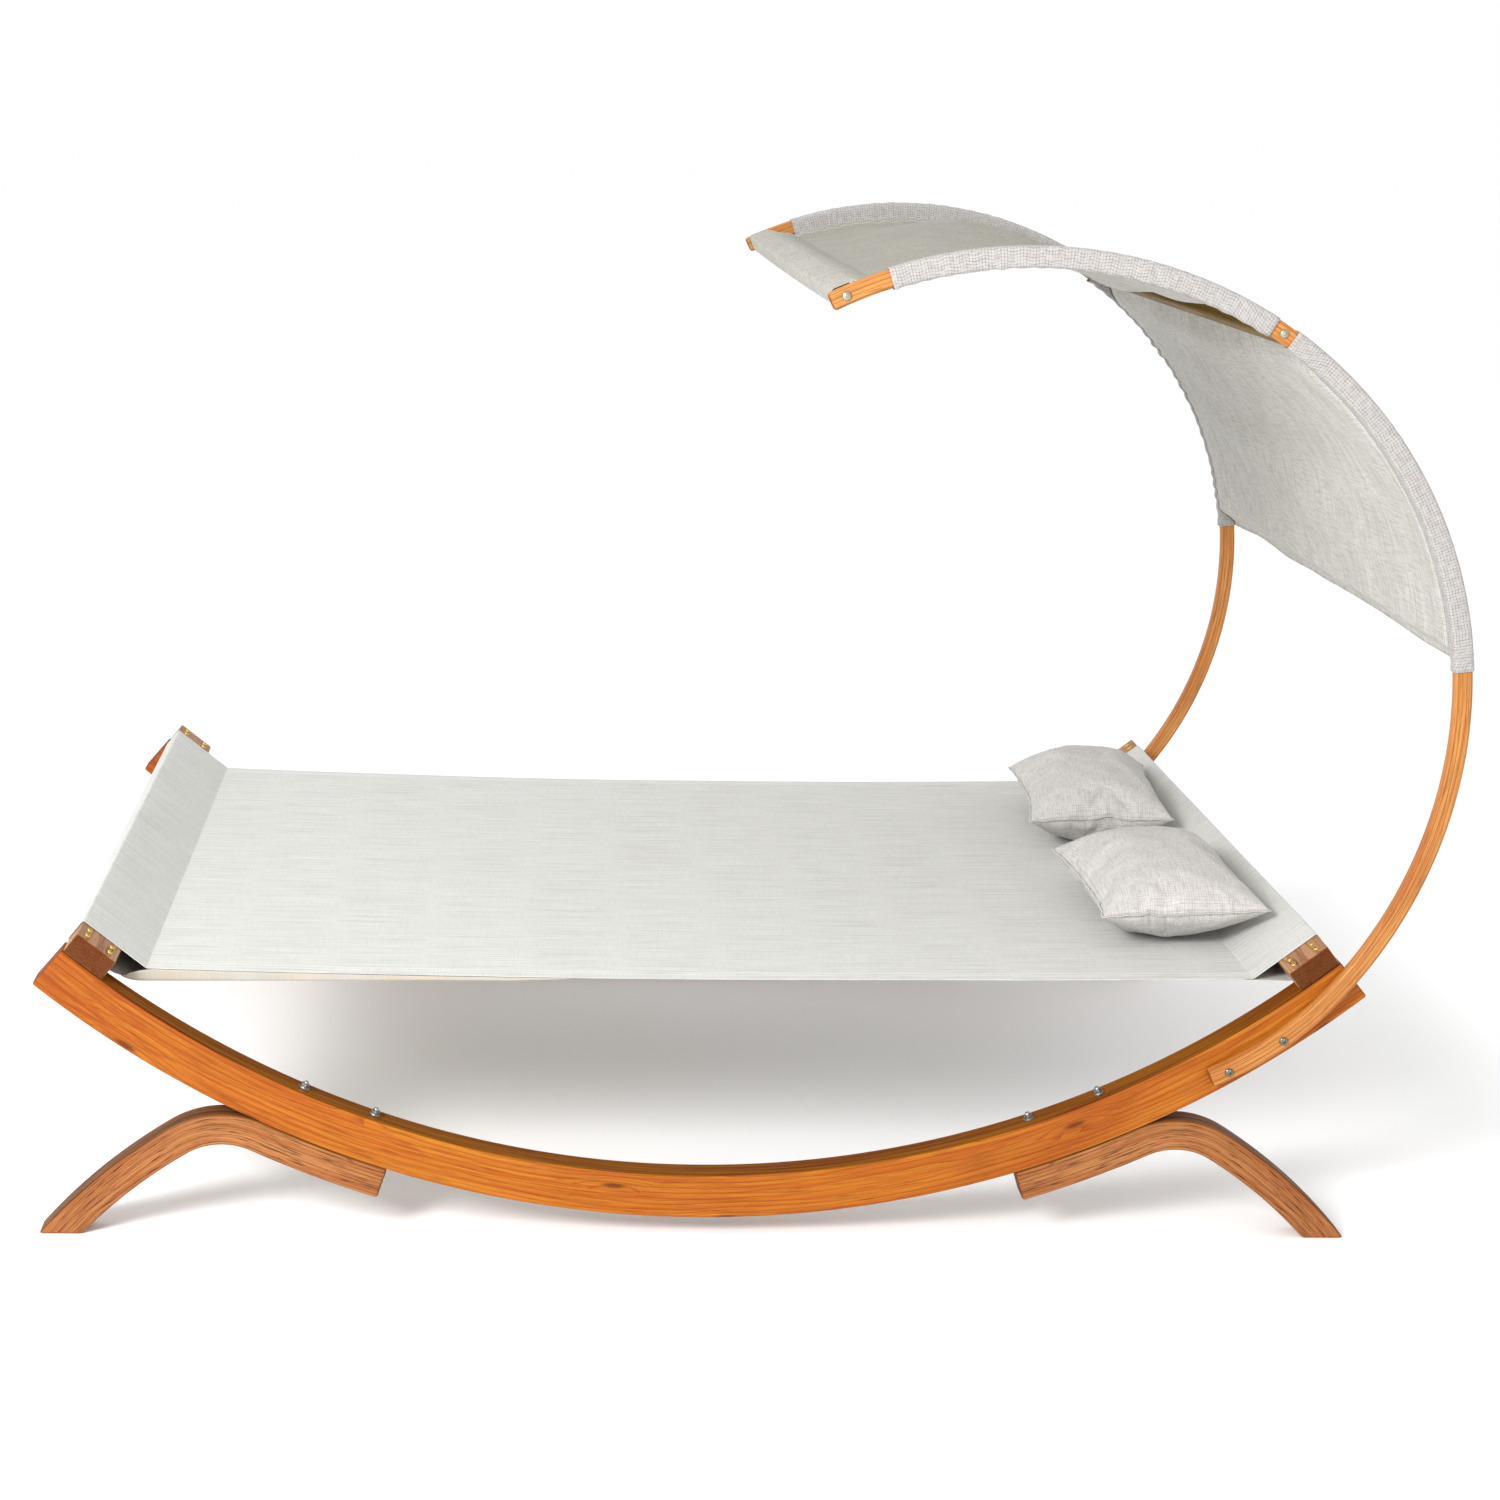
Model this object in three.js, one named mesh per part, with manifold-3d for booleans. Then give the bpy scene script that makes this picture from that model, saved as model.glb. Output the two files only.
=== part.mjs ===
// Canopied double day bed: curved laminated side rails on bent legs, a fabric bed slung between
// two end planks, two loose pillows, and a fabric canopy on a pair of C-shaped arms.
// Millimetres, +Z up. +X is the head end. Seen from the foot end, left is +Y and right is -Y.
import * as THREE from 'three';
import { mergeVertices } from 'three/addons/utils/BufferGeometryUtils.js';
import Module from 'manifold-3d';

const wasm = await Module();
wasm.setup();

// ---- Driving dimensions. Angles are in degrees ----
const GAP = 0.3;                       // air left between faces that touch
const BED_WIDTH = 1400;                // outer face to outer face of the side rails

const RAIL_WIDTH = 49;
const RAIL_DEPTH = 74;
const RAIL_TOP_RADIUS = 1587;          // the concave top face
const RAIL_CENTRE_Z = 1693.4;          // centre of the rails' arc, above the floor
const RAIL_END_ANGLE = 40.2;           // from the arc's lowest point
const RAIL_STEPS = 48;

const LEG_THICKNESS = 52;
const LEG_START_ANGLE = 18;            // on the rails' arc, where the leg starts under the rail
const LEG_CROWN_ANGLE = 25.3;          // on the same arc, where it bends away from the rail
const LEG_CROWN_RADIUS = 107;          // underside of the bend
const LEG_SHIN_ANGLE = 58;             // where the bend runs into the long outer part
const LEG_SHIN_RADIUS = 850;           // underside of that part
const LEG_STEPS = { rail: 4, crown: 10, shin: 6 };

const PLANK_WIDTH = 76;
const PLANK_THICKNESS = 38;
const PLANK_ANGLE = 38.75;             // place on the rails' arc, and so the plank's slope
const PLANK_SEAT_GAP = 0.6;

const ARM_THICKNESS = 22;              // across the bed
const ARM_DEPTH = 28;                  // along the C's radius
const ARM_RADIUS = 711;                // centre line of the C
const ARM_CENTRE_X = 464;
const ARM_CENTRE_Z = 885;
const ARM_TIP_ANGLE = 116.8;
const ARM_KNEE_ANGLE = -40;            // below this the arm curls a little tighter
const ARM_FOOT_RADIUS = 513;
const ARM_FOOT_ANGLE = -66.5;
const ARM_STEPS = { foot: 5, bow: 40 };

const BAR_WIDTH = 30;                  // crossbars, measured along the arms
const BAR_ANGLES = { front: 114.8, mid: 58.5 };

const CANOPY_CLOTH = 2.4;              // cloth with its folded hems
const CANOPY_GAP = 0.8;                // between cloth and wood
const CANOPY_REAR_ANGLE = 7;
const CANOPY_SLEEVE_ANGLE = 109;       // the side sleeves stop short of the arms' tips
const CANOPY_WINDOW = 36;              // length of bare arm at the mid crossbar
const CANOPY_STEPS = 24;
const CANOPY_LINE = [                  // the panel's angle, and its lift from the arms' inner to outer side
  [CANOPY_REAR_ANGLE, 1], [9, 1], [17, 0], [51.5, 0], [56.4, 1], [60.6, 1], [65.5, 0], [109.6, 0],
  [113.4, 1], [BAR_ANGLES.front, 1],
];
const CANOPY_LINE_STEP = 4.25;

const SLING_WIDTH = 1280;
const SLING_THICKNESS = 4;
const SLING_CREASE_Z = 433.5;          // top of the cloth where its end sleeves are stitched
const SLING_SAG = 8;
const SLING_SAG_STEPS = 8;
const SLING_CLOTH = 2.5;               // cloth of the sleeves round the planks
const SLING_GAP = 0.6;

const PILLOW_LENGTH = 420;             // across the bed
const PILLOW_WIDTH = 290;
const PILLOW_THICKNESS = 130;
const PILLOW_SEAM = 6;                 // thickness at the rim
const PILLOW_PULL = 0.06;              // how far the sides pull in between the corners
const PILLOW_PLACE = { x: 815, y: 290, z: 503 };
const PILLOW_TILT = 4;                 // the head side lies on the rise of the sling

const WOOD_EDGE = 3;                   // eased edges of sawn wood
const ARM_EDGE = 4;

const HOLE_GAP = 0.6;                  // a hole's radius over its bolt's
const BOLT_SIDES = 12;                 // round pieces and holes have this many sides
const SCREW_SIDES = 8;
const HOLE_SIDES = 8;
const LEG_BOLT = { radius: 4, head: 10, dome: 4.5, angles: { inner: 19.7, outer: 24.1 } };
const LEG_NUT = { across: 13, height: 6.5, washer: 9, plate: 1.6, thread: 4 };
const ARM_BOLT = { radius: 3, head: 7, dome: 4.5, angles: { lower: -63, upper: -51.7 } };
const ARM_NUT = { across: 10, height: 5, washer: 6.5, plate: 1.4, thread: 3 };
const BAR_BOLT_DEPTH = 35;             // into the crossbar's end
const SCREW = { radius: 2.4, head: 5, dome: 2.8, length: 60, point: 5 };
const SCREW_ROWS = { lower: -22, upper: 22 };    // along the plank's slope, from its middle
const SCREW_COLUMNS = { inner: 658, outer: 682 };  // distance from the bed's centre plane

const SIDES = { right: -1, left: 1 };
const ENDS = { foot: -1, head: 1 };

// ---- Derived dimensions ----
const HALF_BED = BED_WIDTH / 2;
const RAIL_BOTTOM_RADIUS = RAIL_TOP_RADIUS + RAIL_DEPTH;
const RAIL_MIDDLE_Y = HALF_BED - RAIL_WIDTH / 2;
const RAIL_INNER_Y = HALF_BED - RAIL_WIDTH;
const LEG_TOP_RADIUS = RAIL_BOTTOM_RADIUS + GAP;
const LEG_UNDER_RADIUS = LEG_TOP_RADIUS + LEG_THICKNESS;
const PLANK_BOTTOM_RADIUS = Math.sqrt((RAIL_TOP_RADIUS - PLANK_SEAT_GAP) ** 2 - (PLANK_WIDTH / 2) ** 2);
const PLANK_RADIUS = PLANK_BOTTOM_RADIUS - PLANK_THICKNESS / 2;
const ARM_INNER_Y = HALF_BED + GAP;
const ARM_OUTER_Y = ARM_INNER_Y + ARM_THICKNESS;
const ARM_INNER_RADIUS = ARM_RADIUS - ARM_DEPTH / 2;
const ARM_OUTER_RADIUS = ARM_RADIUS + ARM_DEPTH / 2;

// ---- Finishes ----
const finish = (color, roughness, metalness = 0) =>
  new THREE.MeshStandardMaterial({ color, roughness, metalness });
const RAIL_WOOD = finish(0xd9792b, 0.5);
const LEG_WOOD = finish(0xb36b39, 0.55);
const PLANK_WOOD = finish(0x8a5434, 0.55);
const ARM_WOOD = finish(0xdf9558, 0.5);
const SLING_FABRIC = finish(0xe1e2de, 0.85);
const CANOPY_FABRIC = finish(0xbfc0b3, 0.85);
const PILLOW_LINEN = finish(0xcac6c0, 0.9);
const ZINC = finish(0xc3c7cb, 0.3, 0.9);
const YELLOW_ZINC = finish(0xc9a54a, 0.35, 0.9);

// ---- Helpers ----
const rad = THREE.MathUtils.degToRad;
const Y_AXIS = new THREE.Vector3(0, 1, 0);

// A point on a circle in the XZ plane. Angles run from +X towards +Z.
function onCircle(centre, radius, angle) {
  const turn = rad(angle);
  return new THREE.Vector2(centre.x + radius * Math.cos(turn), centre.y + radius * Math.sin(turn));
}

const RAIL_CENTRE = new THREE.Vector2(0, RAIL_CENTRE_Z);
const ARM_CENTRE = new THREE.Vector2(ARM_CENTRE_X, ARM_CENTRE_Z);
const ARM_FOOT_CENTRE = onCircle(ARM_CENTRE, ARM_RADIUS - ARM_FOOT_RADIUS, ARM_KNEE_ANGLE);

// An outline in X and Z becomes a solid that runs across the bed from lowY to highY.
function acrossBed(outline, lowY, highY, edge = 0) {
  const geometry = new THREE.ExtrudeGeometry(outline, {
    depth: highY - lowY - 2 * edge,
    bevelEnabled: edge > 0,
    bevelThickness: edge,
    bevelSize: edge,
    bevelOffset: -edge,
    bevelSegments: 1,
  });
  geometry.rotateX(Math.PI / 2);
  return geometry.translate(0, highY - edge, 0);
}

// Points along an arc, both ends included.
function arc(centre, radius, fromAngle, toAngle, steps) {
  const points = [];
  for (let i = 0; i <= steps; i += 1) {
    points.push(onCircle(centre, radius, fromAngle + ((toAngle - fromAngle) * i) / steps));
  }
  return points;
}

// An outline made of runs of points. Where one run starts on the end of another, one point stays.
function outlineOf(...runs) {
  const points = runs.flat();
  return new THREE.Shape(points.filter((p, i) => i === 0 || p.distanceTo(points[i - 1]) > 0.01));
}

// The outline between two radii about one centre.
function band(centre, innerRadius, outerRadius, fromAngle, toAngle, steps) {
  return outlineOf(
    arc(centre, outerRadius, fromAngle, toAngle, steps),
    arc(centre, innerRadius, toAngle, fromAngle, steps),
  );
}

function rectangle(width, height) {
  const [x, y] = [width / 2, height / 2];
  return new THREE.Shape([[-x, -y], [x, -y], [x, y], [-x, y]].map(([a, b]) => new THREE.Vector2(a, b)));
}

function toSolid(geometry) {
  const bare = geometry.clone();
  bare.deleteAttribute('normal');
  bare.deleteAttribute('uv');
  const merged = mergeVertices(bare, 1e-3);
  return new wasm.Manifold(new wasm.Mesh({
    numProp: 3,
    vertProperties: Float32Array.from(merged.attributes.position.array),
    triVerts: Uint32Array.from(merged.index.array),
  }));
}

function toGeometry(solid) {
  const mesh = solid.getMesh();
  const geometry = new THREE.BufferGeometry();
  geometry.setAttribute('position', new THREE.BufferAttribute(mesh.vertProperties, 3));
  geometry.setIndex(new THREE.BufferAttribute(mesh.triVerts, 1));
  geometry.computeVertexNormals();
  return geometry;
}

function cut(geometry, cutters) {
  return toGeometry(cutters.reduce((solid, cutter) => solid.subtract(toSolid(cutter)), toSolid(geometry)));
}

// ---- Fasteners. Each seat is a place on an outer face, with +Y running into the wood ----
function seat(position, inward) {
  const turn = new THREE.Quaternion().setFromUnitVectors(Y_AXIS, inward);
  return new THREE.Matrix4().compose(position, turn, new THREE.Vector3(1, 1, 1));
}

// A round bore from just outside the seat to a depth.
function bore(place, radius, depth) {
  const lead = 10;
  const cylinder = new THREE.CylinderGeometry(radius, radius, depth + lead, HOLE_SIDES);
  return cylinder.translate(0, (depth - lead) / 2, 0).applyMatrix4(place);
}

// A domed head and a plain shank, which may end in a point.
function boltGeometry({ radius, head, dome, point = 0 }, length, sides = BOLT_SIDES) {
  const profile = [
    [0, -dome], [head * 0.6, -dome * 0.85], [head, -dome * 0.3], [head, -GAP], [radius, -GAP],
    [radius, length - point], [0, length],
  ];
  return new THREE.LatheGeometry(profile.map(([r, y]) => new THREE.Vector2(r, y)), sides);
}

// A hexagon nut on its washer, both round the bolt, standing up from the origin along +Y.
function nutGeometry({ across, height, washer, plate }, boltRadius) {
  const centre = new THREE.Vector2();
  const ring = (radius, sides) => arc(centre, radius, 0, 360, sides).slice(1);
  const disc = [ring(washer, BOLT_SIDES), plate];
  const hexagon = [ring(across / Math.sqrt(3), 6), plate + height];
  const [washerSolid, nutSolid] = [disc, hexagon].map(([points, depth]) => {
    const outline = new THREE.Shape(points);
    outline.holes.push(new THREE.Path(ring(boltRadius + GAP, BOLT_SIDES)));
    return toSolid(new THREE.ExtrudeGeometry(outline, { depth, bevelEnabled: false }).rotateX(-Math.PI / 2));
  });
  return toGeometry(washerSolid.add(nutSolid));
}

const depthOf = (nut) => nut.plate + nut.height + nut.thread;

// Under a leg, square to the rail's arc. The end is -1 or 1, and so is the side.
function legBoltSeat(side, end, angle) {
  const foot = onCircle(RAIL_CENTRE, LEG_UNDER_RADIUS, -90 + end * angle);
  const inward = RAIL_CENTRE.clone().sub(foot).normalize();
  const position = new THREE.Vector3(foot.x, side * RAIL_MIDDLE_Y, foot.y);
  return seat(position, new THREE.Vector3(inward.x, 0, inward.y));
}

// On an arm's outer face.
function armBoltSeat(side, centre, radius, angle) {
  const place = onCircle(centre, radius, angle);
  return seat(new THREE.Vector3(place.x, side * ARM_OUTER_Y, place.y), new THREE.Vector3(0, -side, 0));
}

const armRailSeat = (side, angle) => armBoltSeat(side, ARM_FOOT_CENTRE, ARM_FOOT_RADIUS, angle);
const armBarSeat = (side, angle) => armBoltSeat(side, ARM_CENTRE, ARM_RADIUS, angle);

// A plank's own frame: its middle, its direction up the slope and its upward normal.
function plankFrame(end) {
  const middle = onCircle(RAIL_CENTRE, PLANK_RADIUS, -90 + end * PLANK_ANGLE);
  const up = RAIL_CENTRE.clone().sub(middle).normalize();
  const along = new THREE.Vector2(end * Math.abs(up.y), Math.abs(up.x));
  return { middle, up, along };
}

function onPlank(end, alongDistance, upDistance) {
  const { middle, up, along } = plankFrame(end);
  return middle.clone().addScaledVector(along, alongDistance).addScaledVector(up, upDistance);
}

function screwSeat(side, end, row, column) {
  const place = onPlank(end, row, PLANK_THICKNESS / 2);
  const { up } = plankFrame(end);
  return seat(new THREE.Vector3(place.x, side * column, place.y), new THREE.Vector3(-up.x, 0, -up.y));
}

// ---- Wooden frame ----
function sideRail(side) {
  const [from, to] = [-90 - RAIL_END_ANGLE, -90 + RAIL_END_ANGLE];
  const outline = band(RAIL_CENTRE, RAIL_TOP_RADIUS, RAIL_BOTTOM_RADIUS, from, to, RAIL_STEPS);
  const ys = [side * RAIL_INNER_Y, side * HALF_BED].sort((a, b) => a - b);
  const rail = acrossBed(outline, ys[0], ys[1], WOOD_EDGE);
  const holes = Object.values(ARM_BOLT.angles).map((angle) =>
    bore(armRailSeat(side, angle), ARM_BOLT.radius + HOLE_GAP, ARM_THICKNESS + RAIL_WIDTH + 10));
  const legAndRail = LEG_THICKNESS + RAIL_DEPTH;
  for (const end of Object.values(ENDS)) {
    for (const angle of Object.values(LEG_BOLT.angles)) {
      holes.push(bore(legBoltSeat(side, end, angle), LEG_BOLT.radius + HOLE_GAP, legAndRail + 10));
    }
    for (const row of Object.values(SCREW_ROWS)) {
      for (const column of Object.values(SCREW_COLUMNS)) {
        holes.push(bore(screwSeat(side, end, row, column), SCREW.radius + HOLE_GAP, SCREW.length + 2));
      }
    }
  }
  return cut(rail, holes);
}

// Follows the rail's underside, bends over a crown and runs down to the floor.
function legOutline() {
  const crown = onCircle(RAIL_CENTRE, LEG_UNDER_RADIUS + LEG_CROWN_RADIUS, -90 + LEG_CROWN_ANGLE);
  const shin = onCircle(crown, LEG_CROWN_RADIUS - LEG_SHIN_RADIUS, LEG_SHIN_ANGLE);
  const floorAngle = (radius) => THREE.MathUtils.radToDeg(Math.asin(-shin.y / radius));
  const outerShin = LEG_SHIN_RADIUS + LEG_THICKNESS;
  const [start, bend] = [-90 + LEG_START_ANGLE, -90 + LEG_CROWN_ANGLE];
  return outlineOf(
    arc(RAIL_CENTRE, LEG_TOP_RADIUS, start, bend, LEG_STEPS.rail),
    arc(crown, LEG_CROWN_RADIUS + LEG_THICKNESS, bend + 180, LEG_SHIN_ANGLE, LEG_STEPS.crown),
    arc(shin, outerShin, LEG_SHIN_ANGLE, floorAngle(outerShin), LEG_STEPS.shin),
    arc(shin, LEG_SHIN_RADIUS, floorAngle(LEG_SHIN_RADIUS), LEG_SHIN_ANGLE, LEG_STEPS.shin),
    arc(crown, LEG_CROWN_RADIUS, LEG_SHIN_ANGLE, bend + 180, LEG_STEPS.crown),
    arc(RAIL_CENTRE, LEG_UNDER_RADIUS, bend, start, LEG_STEPS.rail),
  );
}

function leg(side, end) {
  const half = RAIL_WIDTH / 2;
  const wood = acrossBed(legOutline(), -half, half, WOOD_EDGE);
  wood.rotateZ(end > 0 ? 0 : Math.PI).translate(0, side * RAIL_MIDDLE_Y, 0);
  return cut(wood, Object.values(LEG_BOLT.angles).map((angle) =>
    bore(legBoltSeat(side, end, angle), LEG_BOLT.radius + HOLE_GAP, LEG_THICKNESS + 10)));
}

function endPlank(end) {
  const plank = acrossBed(rectangle(PLANK_WIDTH, PLANK_THICKNESS), -HALF_BED, HALF_BED, WOOD_EDGE);
  const { middle } = plankFrame(end);
  plank.rotateY(-end * rad(PLANK_ANGLE)).translate(middle.x, 0, middle.y);
  const holes = [];
  for (const side of Object.values(SIDES)) {
    for (const row of Object.values(SCREW_ROWS)) {
      for (const column of Object.values(SCREW_COLUMNS)) {
        holes.push(bore(screwSeat(side, end, row, column), SCREW.radius + HOLE_GAP, PLANK_THICKNESS + 10));
      }
    }
  }
  return cut(plank, holes);
}

// ---- Canopy frame ----
function armOutline() {
  const half = ARM_DEPTH / 2;
  return outlineOf(
    arc(ARM_FOOT_CENTRE, ARM_FOOT_RADIUS + half, ARM_FOOT_ANGLE, ARM_KNEE_ANGLE, ARM_STEPS.foot),
    arc(ARM_CENTRE, ARM_OUTER_RADIUS, ARM_KNEE_ANGLE, ARM_TIP_ANGLE, ARM_STEPS.bow),
    arc(ARM_CENTRE, ARM_INNER_RADIUS, ARM_TIP_ANGLE, ARM_KNEE_ANGLE, ARM_STEPS.bow),
    arc(ARM_FOOT_CENTRE, ARM_FOOT_RADIUS - half, ARM_KNEE_ANGLE, ARM_FOOT_ANGLE, ARM_STEPS.foot),
  );
}

function canopyArm(side) {
  const ys = [side * ARM_INNER_Y, side * ARM_OUTER_Y].sort((a, b) => a - b);
  const seats = [
    ...Object.values(ARM_BOLT.angles).map((angle) => armRailSeat(side, angle)),
    ...Object.values(BAR_ANGLES).map((angle) => armBarSeat(side, angle)),
  ];
  const holes = seats.map((place) => bore(place, ARM_BOLT.radius + HOLE_GAP, ARM_THICKNESS + 10));
  return cut(acrossBed(armOutline(), ys[0], ys[1], ARM_EDGE), holes);
}

// A bar-shaped block across the bed, turned to lie along the arms at an angle on the C.
function barBlock(angle, width, depth, halfLength, edge = 0) {
  const place = onCircle(ARM_CENTRE, ARM_RADIUS, angle);
  const block = acrossBed(rectangle(depth, width), -halfLength, halfLength, edge);
  return block.rotateY(-rad(angle)).translate(place.x, 0, place.y);
}

function canopyBar(angle) {
  const holes = Object.values(SIDES).map((side) =>
    bore(armBarSeat(side, angle), ARM_BOLT.radius + HOLE_GAP, ARM_THICKNESS + BAR_BOLT_DEPTH + 3));
  return cut(barBlock(angle, BAR_WIDTH, ARM_DEPTH, HALF_BED, ARM_EDGE), holes);
}

// ---- Fabric ----
// The canopy panel's side view: up over each bar, and between them along the arms' inner side.
function panelOutline(inner, outer) {
  const upper = [];
  for (let i = 1; i < CANOPY_LINE.length; i += 1) {
    const [[fromAngle, fromLift], [toAngle, toLift]] = [CANOPY_LINE[i - 1], CANOPY_LINE[i]];
    const steps = Math.ceil((toAngle - fromAngle) / CANOPY_LINE_STEP);
    for (let k = i === 1 ? 0 : 1; k <= steps; k += 1) {
      const angle = THREE.MathUtils.lerp(fromAngle, toAngle, k / steps);
      const lift = THREE.MathUtils.lerp(fromLift, toLift, k / steps);
      upper.push({ angle, radius: THREE.MathUtils.lerp(inner + CANOPY_CLOTH, outer, lift) });
    }
  }
  const surface = (depth) => upper.map(({ angle, radius }) => onCircle(ARM_CENTRE, radius - depth, angle));
  return outlineOf(surface(0), surface(CANOPY_CLOTH).reverse());
}

// One panel between both arms, with a sleeve round each arm and one round the front bar.
function canopyCover() {
  const reach = CANOPY_GAP + CANOPY_CLOTH;
  const inner = ARM_INNER_RADIUS - reach;
  const outer = ARM_OUTER_RADIUS + reach;
  const panelEdge = ARM_INNER_Y - reach;
  const sweep = (innerRadius, outerRadius, from, to, lowY, highY) =>
    acrossBed(band(ARM_CENTRE, innerRadius, outerRadius, from, to, CANOPY_STEPS), lowY, highY);
  const [rear, front] = [CANOPY_REAR_ANGLE, BAR_ANGLES.front];
  const panel = acrossBed(panelOutline(inner, outer), -panelEdge - 1, panelEdge + 1);
  const frontSleeve = barBlock(front, BAR_WIDTH + 2 * reach, ARM_DEPTH + 2 * reach, panelEdge);
  let cover = toSolid(panel).add(toSolid(frontSleeve));
  const air = 2 * CANOPY_GAP;
  const frontBore = barBlock(front, BAR_WIDTH + air, ARM_DEPTH + air, BED_WIDTH);
  for (const side of Object.values(SIDES)) {
    const ys = [side * panelEdge, side * (ARM_OUTER_Y + reach)].sort((a, b) => a - b);
    const sleeve = sweep(inner, outer, rear, CANOPY_SLEEVE_ANGLE, ys[0], ys[1]);
    const [boreInner, boreOuter] = [inner + CANOPY_CLOTH, outer - CANOPY_CLOTH];
    const boreYs = [ys[0] + CANOPY_CLOTH, ys[1] - CANOPY_CLOTH];
    const bores = sweep(boreInner, boreOuter, rear - 5, CANOPY_SLEEVE_ANGLE + 5, boreYs[0], boreYs[1]);
    const window = barBlock(BAR_ANGLES.mid, CANOPY_WINDOW, 3 * ARM_DEPTH, reach + ARM_THICKNESS);
    window.translate(0, side * (panelEdge + reach + ARM_THICKNESS), 0);
    cover = cover.add(toSolid(sleeve)).subtract(toSolid(bores)).subtract(toSolid(window));
  }
  return toGeometry(cover.subtract(toSolid(frontBore)));
}

// One half of the sling's side view, head end. Mirrored in X for the foot end.
function slingEnd() {
  const hole = { along: PLANK_WIDTH / 2 + SLING_GAP, up: PLANK_THICKNESS / 2 + SLING_GAP };
  const skin = { along: hole.along + SLING_CLOTH, up: hole.up + SLING_CLOTH };
  const head = ENDS.head;
  const { middle, up, along } = plankFrame(head);
  const downSlopeTo = (height, lift) => onPlank(head, (height - middle.y - lift * up.y) / along.y, lift);
  return {
    crease: downSlopeTo(SLING_CREASE_Z, skin.up),
    rim: [
      onPlank(head, -skin.along, -skin.up),
      onPlank(head, skin.along, -skin.up),
      onPlank(head, skin.along, skin.up),
    ],
    bore: [
      downSlopeTo(SLING_CREASE_Z - SLING_CLOTH, hole.up),
      onPlank(head, hole.along, hole.up),
      onPlank(head, hole.along, -hole.up),
      onPlank(head, -hole.along, -hole.up),
    ],
  };
}

function slingTop(creaseX) {
  const points = [];
  for (let i = 0; i <= SLING_SAG_STEPS; i += 1) {
    const u = -1 + (2 * i) / SLING_SAG_STEPS;
    points.push(new THREE.Vector2(u * creaseX, SLING_CREASE_Z - SLING_SAG * (1 - u * u)));
  }
  return points;
}

function sling() {
  const { crease, rim, bore: sleeveBore } = slingEnd();
  const mirrored = (points) => points.map((p) => new THREE.Vector2(-p.x, p.y)).reverse();
  const top = slingTop(crease.x);
  const underside = top.map((p) => new THREE.Vector2(p.x, p.y - SLING_THICKNESS));
  const outline = new THREE.Shape([...underside, ...rim, ...top.reverse(), ...mirrored(rim)]);
  outline.holes.push(new THREE.Path(sleeveBore), new THREE.Path(mirrored(sleeveBore)));
  return acrossBed(outline, -SLING_WIDTH / 2, SLING_WIDTH / 2);
}

// Crowned top and bottom that meet in a thin rim, with sides pulled in between the corners.
function pillow() {
  const geometry = new THREE.BoxGeometry(2, 2, 2, 10, 12, 1);
  const points = geometry.attributes.position;
  for (let i = 0; i < points.count; i += 1) {
    const [u, v, face] = [points.getX(i), points.getY(i), points.getZ(i)];
    const crown = ((1 - u * u) * (1 - v * v)) ** 0.55;
    const half = (PILLOW_SEAM + (PILLOW_THICKNESS - PILLOW_SEAM) * crown) / 2;
    const x = (u * PILLOW_WIDTH / 2) * (1 - PILLOW_PULL * (1 - v * v));
    const y = (v * PILLOW_LENGTH / 2) * (1 - PILLOW_PULL * (1 - u * u));
    points.setXYZ(i, x, y, face * half);
  }
  geometry.computeVertexNormals();
  return geometry;
}

// ---- Assembly ----
const bed = new THREE.Group();

function add(name, geometry, material, parent = bed) {
  const mesh = new THREE.Mesh(geometry, material);
  mesh.name = name;
  parent.add(mesh);
  return mesh;
}

function addSeated(name, geometry, material, place) {
  add(name, geometry, material).applyMatrix4(place);
}

function addFrame() {
  for (const [sideName, side] of Object.entries(SIDES)) {
    add(`side_rail_${sideName}`, sideRail(side), RAIL_WOOD);
    add(`canopy_arm_${sideName}`, canopyArm(side), ARM_WOOD);
    for (const [endName, end] of Object.entries(ENDS)) {
      add(`leg_${endName}_${sideName}`, leg(side, end), LEG_WOOD);
    }
  }
  for (const [endName, end] of Object.entries(ENDS)) {
    add(`end_plank_${endName}`, endPlank(end), PLANK_WOOD);
  }
  for (const [name, angle] of Object.entries(BAR_ANGLES)) {
    add(`canopy_bar_${name}`, canopyBar(angle), ARM_WOOD);
  }
}

function addSoftPieces() {
  add('sling', sling(), SLING_FABRIC);
  add('canopy_cover', canopyCover(), CANOPY_FABRIC);
  for (const [sideName, side] of Object.entries(SIDES)) {
    const mesh = add(`pillow_${sideName}`, pillow(), PILLOW_LINEN);
    mesh.position.set(PILLOW_PLACE.x, side * PILLOW_PLACE.y, PILLOW_PLACE.z);
    mesh.rotation.y = -rad(PILLOW_TILT);
  }
}

function addLegBolts() {
  const clamped = LEG_THICKNESS + GAP + RAIL_DEPTH;
  for (const [sideName, side] of Object.entries(SIDES)) {
    for (const [endName, end] of Object.entries(ENDS)) {
      for (const [angleName, angle] of Object.entries(LEG_BOLT.angles)) {
        const place = legBoltSeat(side, end, angle);
        const onTop = place.clone().multiply(new THREE.Matrix4().makeTranslation(0, clamped + GAP, 0));
        const name = `${endName}_${sideName}_${angleName}`;
        addSeated(`leg_bolt_${name}`, boltGeometry(LEG_BOLT, clamped + depthOf(LEG_NUT)), ZINC, place);
        addSeated(`leg_nut_${name}`, nutGeometry(LEG_NUT, LEG_BOLT.radius), ZINC, onTop);
      }
    }
  }
}

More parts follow.
